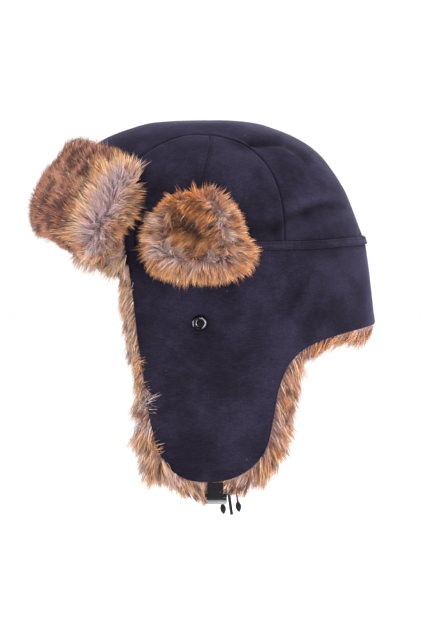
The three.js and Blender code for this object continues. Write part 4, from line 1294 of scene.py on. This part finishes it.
def cornerSkin(u, v):  # runs back from below the peak's end to the flap's front edge
    c = cornerLook
    y = c["ahead"] + (c["behind"] - c["ahead"]) * u
    low = c["drop"] + (c["dropBehind"] - c["drop"]) * u**1.5 + c["sag"] * np.sin(np.pi * u**0.75)
    z = c["top"] - (low + c["top"]) * v
    seat = pointAt(turnOf(y, z), z)
    return seat + outwardAt(seat) * (c["proud"] + c["rolled"] * (1 - u))[:, None]


def growCorner(side, seed):  # the lining's roll comes forward there and fills the notch under the peak
    u, v = scatter(cornerSkin, cornerLook["tufts"], seed)
    centre, alongU, alongV = frameOf(cornerSkin, u, v)[:3]
    outward = outwardAt(centre)
    ahead = (1 - u)[:, None]
    comb = np.array([[0, -0.12, -1]]) + np.array([[0, -0.55, 0]]) * ahead
    comb = comb + 0.55 * swirl(centre, unit(alongU), unit(alongV))
    lengths = cornerLook["length"] * (0.85 + 0.6 * cloud(centre, 9, 69)) * (1 - 0.25 * (1 - u))
    flip = np.array([[side, 1, 1]])
    name = "flap_fur_corner_left" if side > 0 else "flap_fur_corner_right"
    look, paint = dict(liningLook, lengths=lengths), mirroredPaint(paintLining, flip)
    return growFur(name, centre * flip, outward * flip, comb * flip, look, paint, seed)


# Wisps of the roll that curl out over the cloth along the flaps' front edges
wispLook = dict(
    liningLook, lift=(1.1, 0.3, 0.0), unrest=0.5, drop=0.0, gather=0.3, width=0.3, tuftRadius=2.8,
    heights=(-99, -118, -129, -161), perHeight=8, spread=3.4, length=12.5,
)


def growWisps(name, span, seed):
    draw = np.random.default_rng(seed)
    line = np.linspace(*span, 1500)
    edge = flapSeat(line, np.ones_like(line))
    aimed = np.repeat(wispLook["heights"], wispLook["perHeight"])
    slant = np.repeat(draw.uniform(-0.7, 0.5, len(wispLook["heights"])), wispLook["perHeight"])
    miss = np.abs(edge[None, :, 2] - (aimed + draw.normal(0, wispLook["spread"], len(aimed)))[:, None])
    u = line[np.argmin(miss + 1000 * (edge[None, :, 1] > -20), axis=1)]
    centre = rimSkin(u, draw.uniform(0.05, 0.2, len(u)))
    outward = outwardAt(centre)
    comb = -offEdgeAt(u) + np.array([[0, 0, 1]]) * slant[:, None]
    lengths = wispLook["length"] * draw.uniform(0.4, 1.15, len(u))
    return growFur(name, centre, outward, comb, dict(wispLook, lengths=lengths), paintLining, seed)


def addLiningBase():  # one body of rows: down the outside, round the roll and up the inside
    columns, down, rolled = 200, 16, 8
    line = np.linspace(0, 1, columns)
    u, v = gridOf(line, np.linspace(0, 1, down))
    seat, outward = liningSeat(u, v)
    relief = flapRelief(v, seat)
    outer = seat + outward * (relief - liningLook["seatDepth"])[:, None]
    inner = seat + outward * (relief - liningLook["seatDepth"] - liningLook["thickness"] * 0.9)[:, None]
    outer, inner = outer.reshape(down, columns, 3), inner.reshape(down, columns, 3)
    roll = [rimSkin(line, np.full(columns, turn)) for turn in np.linspace(0, 1, rolled)[1:-1]]
    rows = np.concatenate([outer, np.stack(roll), inner[::-1]])
    count = len(rows)
    at = np.arange(count * columns).reshape(count, columns)
    faces = [gridFaces(count, columns)]
    faces.append(np.column_stack([at[0, 1:], at[0, :-1], at[-1, :-1], at[-1, 1:]]))
    for end, way in ((at[:, 0], 1), (at[:, -1], -1)):
        caps = [(end[k], end[k + 1], end[count - 2 - k], end[count - 1 - k]) for k in range(count // 2)]
        faces.append(np.array(caps)[:, ::way])
    piece = addPiece("flap_fur_base", rows.reshape(-1, 3), faces, materials["lining base"])
    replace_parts(piece, "flap_fur")


addLiningBase()
growRim("flap_fur_rim_left", (0.0, 0.38), 2170, 31)
growRim("flap_fur_rim_nape", (0.38, 0.62), 1100, 32)
growRim("flap_fur_rim_right", (0.62, 1.0), 2170, 33)
growInside("flap_fur_inside_left", (0.0, 0.5), 1400, 34)
growInside("flap_fur_inside_right", (0.5, 1.0), 1400, 35)
growCorner(1, 36)
growCorner(-1, 37)
growWisps("flap_fur_wisps_left", (0.0, 0.38), 38)
growWisps("flap_fur_wisps_right", (0.62, 1.0), 39)
print("lining furred")

# Press studs: a domed ring round a dished middle, in black enamel
snap = dict(forward=8.0, drop=64.0, clearance=0.35, turns=64)
snapProfile = [
    (0.0, 0.0), (5.7, 0.0), (6.1, 0.25), (6.2, 0.6), (6.05, 1.0), (5.75, 1.3), (5.55, 1.75), (5.3, 2.2),
    (4.9, 2.52), (4.5, 2.6), (4.2, 2.45), (3.9, 2.05), (3.7, 1.4), (3.3, 0.95), (2.8, 0.8), (2.2, 0.8),
    (1.9, 0.9), (1.7, 1.1), (1.5, 1.4), (1.1, 1.55), (0.6, 1.6), (0.0, 1.62),
]
# Arcs of bright nickel, partly the spring that grips the stud and partly painted highlights where the stud's
# crescents of light show, the arc on the outer rim only a painted highlight: radius, half width, height,
# first and last angle
springGlintArcs = [(4.0, 0.6, 2.3, 80, 252), (3.3, 0.42, 1.1, -56, 52), (5.65, 0.3, 2.5, -28, 24)]


def turned(profile, turns):
    angle = np.linspace(0, 2 * np.pi, turns + 1)[:-1]
    rings = [(r * np.cos(a), r * np.sin(a), z) for r, z in profile[1:-1] for a in angle]
    points = np.array([(0, 0, profile[0][1]), *rings, (0, 0, profile[-1][1])])
    count = len(profile) - 2
    at = 1 + np.arange(count * turns).reshape(count, turns)
    after = np.roll(at, -1, axis=1)
    foot = np.column_stack([after[0], at[0], np.zeros(turns, int)])
    head = np.column_stack([at[-1], after[-1], np.full(turns, len(points) - 1)])
    return points, ringQuads(at), np.concatenate([foot, head])


def makeWearGroup():
    group, into, out = newGroup(
        "handled finish",
        [
            ("Vector", "NodeSocketVector", (0, 0, 0)),
            ("Color", "NodeSocketColor", (0.01, 0.01, 0.012, 1)),
            ("Worn Color", "NodeSocketColor", (0.05, 0.05, 0.055, 1)),
            ("Scale", "NodeSocketFloat", 300.0),
            ("Gloss", "NodeSocketFloat", 0.2),
            ("Wear", "NodeSocketFloat", 0.3),
        ],
        finishOutputs,
    )
    where, scale = into.outputs["Vector"], into.outputs["Scale"]
    smears = noiseAt(group, where, scale, 4.0, 0.6)
    fine = noiseAt(group, where, math(group, "MULTIPLY", scale, 7.0), 2.0, 0.6)
    scuffs = math(group, "MULTIPLY", remap(group, fine, 0.56, 0.7), into.outputs["Wear"])
    colour = mixColour(group, scuffs, into.outputs["Color"], into.outputs["Worn Color"])
    group.links.new(colour, out.inputs["Color"])
    spread = remap(group, smears, 0.3, 0.75, -0.06, 0.12)
    duller = math(group, "ADD", spread, math(group, "MULTIPLY", scuffs, 0.3))
    rough = math(group, "ADD", into.outputs["Gloss"], duller)
    group.links.new(math(group, "MAXIMUM", rough, 0.05), out.inputs["Roughness"])
    group.links.new(fine, out.inputs["Height"])
    return group


def makeHardFinish(name, look):
    material, tree, shader = newMaterial(
        name,
        Specular_IOR_Level=look["shine"],
        Metallic=look["metal"],
        Coat_Weight=look["coat"],
        Coat_Roughness=0.08,
    )
    where = addNode(tree, "ShaderNodeTexCoord").outputs["Object"]
    values = {
        "Color": (*linear(look["color"]), 1),
        "Worn Color": (*linear(look["worn"]), 1),
        "Scale": look["scale"],
        "Gloss": look["gloss"],
        "Wear": look["wear"],
    }
    finish = placeGroup(tree, wearGroup, values)
    tree.links.new(where, finish.inputs["Vector"])
    joinFinish(tree, shader, finish)
    addBump(tree, shader, finish.outputs["Height"], look["grain"], 0.0002)
    return material


wearGroup = makeWearGroup()
hardLooks = {
    "black enamel": dict(
        color=(6, 5, 8), worn=(30, 28, 34), scale=260.0, gloss=0.16, wear=0.15,
        shine=0.12, metal=0.0, coat=0.12, grain=0.12,
    ),
    "black plastic": dict(
        color=(7, 6, 9), worn=(28, 27, 32), scale=180.0, gloss=0.24, wear=0.3,
        shine=0.2, metal=0.0, coat=0.1, grain=0.25,
    ),
    "nickel": dict(
        color=(150, 147, 162), worn=(96, 93, 104), scale=260.0, gloss=0.2, wear=0.4,
        shine=0.5, metal=1.0, coat=0.0, grain=0.1,
    ),
}
for name, look in hardLooks.items():
    materials[name] = makeHardFinish(name, look)


def springGlintWires():
    stations, sides = 33, 8
    around = np.arange(sides) * np.pi / 4
    points, faces = [], []
    for k, (radius, half, height, first, last) in enumerate(springGlintArcs):
        angle = np.radians(np.linspace(first, last, stations))[:, None]
        narrow = 0.25 + 0.75 * np.sin(np.linspace(0, np.pi, stations))[:, None] ** 0.5
        reach = radius + half * narrow * np.cos(around)
        height = height + 0.8 * half * narrow * np.sin(around)
        wire = np.stack([reach * np.cos(angle), reach * np.sin(angle), height], axis=-1)
        points.append(wire.reshape(-1, 3))
        at = np.arange(stations * sides).reshape(stations, sides) + k * stations * sides
        ends = at[0, [[0, 1, 2, 7], [2, 3, 6, 7], [3, 4, 5, 6]]]
        faces += [ringQuads(at)[:, [0, 3, 2, 1]], ends, ends[:, ::-1] + (stations - 1) * sides]
    return np.concatenate(points), np.concatenate(faces)


def addSnap(name, side):
    points, quads, tris = turned(snapProfile, snap["turns"])
    z = np.array([-snap["drop"]])
    seat = pointAt(turnOf(np.array([-snap["forward"]]), z), z)
    outward = outwardAt(seat)[0]
    relief = max(reliefAt(seat, folds)[0], 0)
    place = seat[0] + outward * (snap["clearance"] + relief)
    across = np.cross(outward, (0, 0, 1))
    across = across / np.linalg.norm(across)
    up = np.cross(across, outward)
    flip, axes = np.array([side, 1, 1]), np.array([across, up, outward])
    wires, wireFaces = springGlintWires()
    wires, points = (place + wires @ axes) * flip, (place + points @ axes) * flip
    # The nickel arcs stand partly for the spring and partly as painted highlights
    addPiece(name + "_spring_glints", wires, [wireFaces[:, ::side]], materials["nickel"])
    faces = [quads[:, ::side], tris[:, ::side]]
    return addPiece(name, points, faces, materials["black enamel"])


for side, label in ((1, "left"), (-1, "right")):
    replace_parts(addSnap(f"snap_{label}_stud", side), f"snap_{label}")


# The buckle's halves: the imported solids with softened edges
buckle = dict(softening=0.00035, welded=1e-5, flat=np.radians(3), sharp=np.radians(35), shaded=np.radians(40))


def addBuckleHalf(node):
    look, name = buckle, node + "_body"
    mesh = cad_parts[node].data.copy()
    mesh.name = name
    mesh.materials.clear()
    mesh.materials.append(materials["black plastic"])
    piece = bpy.data.objects.new(name, mesh)
    bpy.context.scene.collection.objects.link(piece)
    work = bmesh.new()
    work.from_mesh(mesh)
    bmesh.ops.remove_doubles(work, verts=work.verts, dist=look["welded"])
    bmesh.ops.dissolve_limit(work, angle_limit=look["flat"], verts=work.verts, edges=work.edges)
    sharp = [e for e in work.edges if len(e.link_faces) == 2 and e.calc_face_angle(0) > look["sharp"]]
    soft = dict(offset=look["softening"], segments=2, profile=0.6, affect="EDGES", clamp_overlap=True)
    bmesh.ops.bevel(work, geom=sharp, **soft)
    bmesh.ops.triangulate(work, faces=[f for f in work.faces if len(f.verts) > 4])
    work.to_mesh(mesh)
    work.free()
    mesh.validate()
    for face in mesh.polygons:
        face.use_smooth = True
    mesh.set_sharp_from_angle(angle=look["shaded"])
    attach(piece, "root")
    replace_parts(piece, node)


for node in ("buckle_socket", "buckle_prongs"):
    addBuckleHalf(node)
print("studs and buckle made")

# Straps: webbing folded double round the bar of each buckle half
webbing = dict(
    width=12.5, ply=1.34, seatedPly=1.4, loop=1.55, across=15, colour=(8, 7, 11), threadColour=(24, 22, 29)
)
tabs = {"strap_left": dict(length=10.5, swing=0.0), "strap_right": dict(length=23.0, swing=8.0)}


def makeWeaveGroup():
    group, into, out = newGroup(
        "woven tape",
        [
            ("Vector", "NodeSocketVector", (0, 0, 0)),
            ("Color", "NodeSocketColor", (0.012, 0.011, 0.014, 1)),
            ("Thread Color", "NodeSocketColor", (0.03, 0.028, 0.035, 1)),
            ("Column Width", "NodeSocketFloat", 0.0012),
            ("Pick Spacing", "NodeSocketFloat", 0.0009),
        ],
        finishOutputs,
    )
    split = addNode(group, "ShaderNodeSeparateXYZ")
    group.links.new(into.outputs["Vector"], split.inputs[0])

    def ripple(count):  # swells once for each thread
        return math(group, "ABSOLUTE", math(group, "SINE", math(group, "MULTIPLY", count, 3.1416)))

    column = math(group, "DIVIDE", split.outputs["Y"], into.outputs["Column Width"])
    pick = math(group, "DIVIDE", split.outputs["Z"], into.outputs["Pick Spacing"])
    odd = math(group, "MULTIPLY", math(group, "MODULO", math(group, "FLOOR", column), 2.0), 0.5)
    rib = ripple(column)
    over = ripple(math(group, "ADD", pick, odd))
    height = math(group, "MULTIPLY", math(group, "POWER", rib, 0.6), math(group, "POWER", over, 0.6))
    fuzz = noiseAt(group, into.outputs["Vector"], 2500.0, 2.0, 0.6)
    share = math(group, "MULTIPLY", height, remap(group, fuzz, 0.25, 0.75, 0.5, 1.0))
    colour = mixColour(group, share, into.outputs["Color"], into.outputs["Thread Color"])
    group.links.new(colour, out.inputs["Color"])
    group.links.new(remap(group, fuzz, 0.3, 0.7, 0.62, 0.82), out.inputs["Roughness"])
    group.links.new(height, out.inputs["Height"])
    return group


weaveGroup = makeWeaveGroup()


def makeWebbing(name, colour, thread, swing):
    material, tree, shader = newMaterial(name, Specular_IOR_Level=0.15)
    where = addNode(tree, "ShaderNodeTexCoord").outputs["Object"]
    turn = addNode(tree, "ShaderNodeMapping", vector_type="POINT")
    turn.inputs["Rotation"].default_value = (-np.radians(swing), 0.0, 0.0)
    tree.links.new(where, turn.inputs["Vector"])
    colours = {"Color": (*linear(colour), 1), "Thread Color": (*linear(thread), 1)}
    weave = placeGroup(tree, weaveGroup, colours)
    tree.links.new(turn.outputs["Vector"], weave.inputs["Vector"])
    joinFinish(tree, shader, weave)
    addBump(tree, shader, weave.outputs["Height"], 0.8, 0.00025)
    return material


def tapePath(length):  # down one ply, round the bar and up the other
    near, far = webbing["seatedPly"] / 2, webbing["loop"] + webbing["seatedPly"] / 2
    parted = length - 1.7 * (webbing["loop"] + webbing["seatedPly"])
    down = np.column_stack([np.full(12, near), np.linspace(0, parted, 12)])
    t = np.linspace(0, 1, 9)[1:-1]
    bulge = np.column_stack([near + (far - near) * t**1.3, parted + (length - parted) * t])
    angle = np.linspace(0, np.pi, 25)
    bend = np.column_stack([far * np.cos(angle), length + far * np.sin(angle)])
    mirror = np.array([-1, 1])
    return np.concatenate([down, bulge, bend, (bulge * mirror)[::-1], (down * mirror)[::-1]])


def addStrap(node, look):
    low, high = nodeBox(node)
    swing = np.radians(look["swing"])
    half = webbing["width"] / 2
    top = np.array([(low[0] + high[0]) / 2, low[1] + half * np.cos(swing), high[2] - half * np.sin(swing)])
    path = tapePath(look["length"])
    ahead = np.gradient(path, axis=0)
    ahead /= np.linalg.norm(ahead, axis=1)[:, None]
    out = np.column_stack([ahead[:, 1], -ahead[:, 0]])
    w = np.sin(np.linspace(-np.pi / 2, np.pi / 2, webbing["across"]))
    w = np.sign(w) * np.abs(w) ** 0.7
    thin = np.sqrt(np.clip(1 - np.clip((np.abs(w) - 0.9) / 0.1, 0, 1) ** 2, 0.02, 1)) * webbing["ply"] / 2
    faces = []
    for sign in (1, -1):
        x = path[:, None, 0] + sign * out[:, None, 0] * thin
        z = path[:, None, 1] + sign * out[:, None, 1] * thin
        y = np.broadcast_to(w * half, x.shape)
        faces.append(np.stack([x, y, -z], axis=-1).reshape(-1, 3))
    points = np.concatenate(faces)
    y, z = points[:, 1].copy(), points[:, 2].copy()
    points[:, 1], points[:, 2] = y * np.cos(swing) - z * np.sin(swing), y * np.sin(swing) + z * np.cos(swing)
    points = points + top - np.array([0, 0, hatForm["bandLine"]])
    shape = (len(path), webbing["across"])
    material = makeWebbing(f"{node} webbing", webbing["colour"], webbing["threadColour"], look["swing"])
    piece = addPiece(node + "_webbing", points, [facingOut(points, sheetFaces(*shape))], material)
    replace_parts(piece, node)


def nodeBox(node):  # in millimetres
    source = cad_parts[node]
    corners = np.array([source.matrix_world @ v.co for v in source.data.vertices]) * 1000
    return corners.min(axis=0), corners.max(axis=0)


for node, look in tabs.items():
    addStrap(node, look)

# Stitching: short threads along both sides of the upright seams and both edges of the band
thread = dict(pitch=3.4, length=2.3, radius=0.3, sides=6, beside=2.6, bandEdge=1.9)
# Stations along one thread: shares of its half length and of its radius
threadShape = [(-1.0, 0.25), (-0.6, 0.9), (0.0, 1.0), (0.6, 0.9), (1.0, 0.25)]


def surfaceUnder(piece, points, outward):
    mesh = piece.data
    tree = BVHTree.FromPolygons([v.co for v in mesh.vertices], [f.vertices for f in mesh.polygons])
    start, away = toWorld(points + outward * 12), -outward
    hits = [tree.ray_cast(Vector(p), Vector(d))[0] for p, d in zip(start.tolist(), away.tolist())]
    found = [toWorld(p) if hit is None else np.array(hit) for hit, p in zip(hits, points)]
    return np.array(found) * 1000 - np.array([0, 0, hatForm["bandLine"]])


def evenly(line, pitch):
    run = np.concatenate([[0], np.cumsum(np.linalg.norm(np.diff(line, axis=0), axis=1))])
    spots = np.arange(pitch, run[-1] - pitch / 2, pitch)
    return np.column_stack([np.interp(spots, run, line[:, k]) for k in range(3)])


def addStitches(name, piece, lines, mirrored=False):
    points, ahead = [], []
    for line in lines:
        spots = evenly(line, thread["pitch"])
        points.append(spots)
        ahead.append(unit(np.gradient(spots, axis=0)))
    points, ahead = np.concatenate(points), np.concatenate(ahead)
    if mirrored:
        points, ahead = points * np.array([-1, 1, 1]), ahead * np.array([-1, 1, 1])
    outward = outwardAt(points)
    points = surfaceUnder(piece, points, outward)
    across = np.cross(outward, ahead)
    rings, sides = [], thread["sides"]
    for t, r in threadShape:
        middle = points + ahead * (t * thread["length"] / 2) + outward * (0.16 - 0.3 * abs(t) ** 3)
        for angle in np.arange(sides) * np.pi / 3:
            spread = across * np.cos(angle) + outward * (0.6 * np.sin(angle))[..., None]
            rings.append(middle + spread * (r * thread["radius"]))
    ringed = np.stack(rings, axis=1)  # stitch, ring point
    at = np.arange(len(rings)).reshape(-1, sides)
    caps = [[5, 4, 3, 2], [5, 2, 1, 0], [24, 25, 26, 27], [24, 27, 28, 29]]
    start = np.arange(len(points))[:, None] * len(rings)
    faces = [start + face for face in [*ringQuads(at).tolist(), *caps]]
    return addPiece(name, ringed.reshape(-1, 3), faces, materials["thread"])


materials["thread"] = makeWebbing("thread", (6, 5, 8), (16, 14, 20), 0.0)
made = {piece.name: piece for piece, size, area in cloths}
rowUp = np.linspace(0.05, 0.96, 60)
for side, mirrored in (("left", False), ("right", True)):
    for part, way in (("front", -1), ("rear", 1)):
        name = f"crown_side_{part}_{side}_cloth"
        beside = crown["uprightAt"] + way * thread["beside"] / crown["sideHalf"]
        row = onSide(*archAt(*inArch(np.full(len(rowUp), beside), rowUp), crown["lap"]))
        addStitches(f"seam_stitches_{part}_{side}", made[name], [row], mirrored)
turns = np.linspace(band["browTurn"] + 1, 179 - band["browTurn"], 400)
rows = [sagged(pointAt(turns, np.full(400, way * thread["bandEdge"]))) for way in (-1, 1)]
addStitches("band_stitches", made["band_cloth"], rows)
print("straps and stitches made")

# The stage, the lights and the camera
studio = dict(
    floorAt=-0.62, floorRings=(0.0001, 1.0, 3.0, 7.0), floorSides=96, worldStrength=1.05,
    distance=1.6, elevation=4.0, target=(0, 0, -0.1587), lens=110, sensor=36,
)


def addStage():
    material, tree, shader = newMaterial("pale floor", Roughness=0.9)
    where = addNode(tree, "ShaderNodeTexCoord").outputs["Object"]
    tone = noiseAt(tree, where, 1.2)
    colour = mixColour(tree, tone, (0.93, 0.93, 0.93), (0.95, 0.95, 0.95))
    tree.links.new(colour, shader.inputs["Base Color"])
    rings, sides = studio["floorRings"], studio["floorSides"]
    turn = np.linspace(0, 2 * np.pi, sides + 1)[:-1]
    points = [(r * np.cos(a), r * np.sin(a), studio["floorAt"]) for r in rings for a in turn]
    at = np.arange(len(points)).reshape(len(rings), sides)
    mesh = bpy.data.meshes.new("floor")
    mesh.from_pydata(points, [], ringQuads(at).tolist())
    mesh.materials.append(material)
    floor = bpy.data.objects.new("floor", mesh)
    bpy.context.scene.collection.objects.link(floor)


def aimAt(thing, place, target):
    thing.location = place
    thing.rotation_euler = (Vector(target) - Vector(place)).to_track_quat("-Z", "Y").to_euler()


def addLight(name, place, size, power):
    light = bpy.data.lights.new(name, "AREA")
    light.shape, light.size, light.energy = "SQUARE", size, power
    lamp = bpy.data.objects.new(name, light)
    bpy.context.scene.collection.objects.link(lamp)
    aimAt(lamp, place, studio["target"])


addStage()
world = bpy.data.worlds.new("studio")
bpy.context.scene.world = world
world.use_nodes = True
world.node_tree.nodes["Background"].inputs["Color"].default_value = (1, 1, 1, 1)
world.node_tree.nodes["Background"].inputs["Strength"].default_value = studio["worldStrength"]
# Lights: name, place, size and power; the two glints are small lamps that show in the stud and the buckle
lights = [
    ("top light", (0.5, 0.5, 1.4), 1.0, 26),
    ("back light", (0.7, 1.7, 0.0), 1.0, 22),
    ("front light", (0.5, -1.8, 0.4), 1.0, 12),
    ("far light", (-1.7, 0.4, 0.4), 1.0, 20),
    ("rear glint", (1.3, 0.7, 0.1), 0.13, 2.6),
    ("front glint", (1.3, -0.9, 0.1), 0.13, 1.8),
]
for light in lights:
    addLight(*light)

lens = bpy.data.cameras.new("camera")
lens.lens, lens.sensor_width = studio["lens"], studio["sensor"]
camera = bpy.data.objects.new("camera", lens)
bpy.context.scene.collection.objects.link(camera)
lift = np.radians(studio["elevation"])
reach = studio["distance"]
aimAt(camera, (reach * np.cos(lift), 0, studio["target"][2] + reach * np.sin(lift)), studio["target"])
bpy.context.scene.camera = camera
bpy.context.scene.view_settings.view_transform = "Standard"
print("stage and camera set")
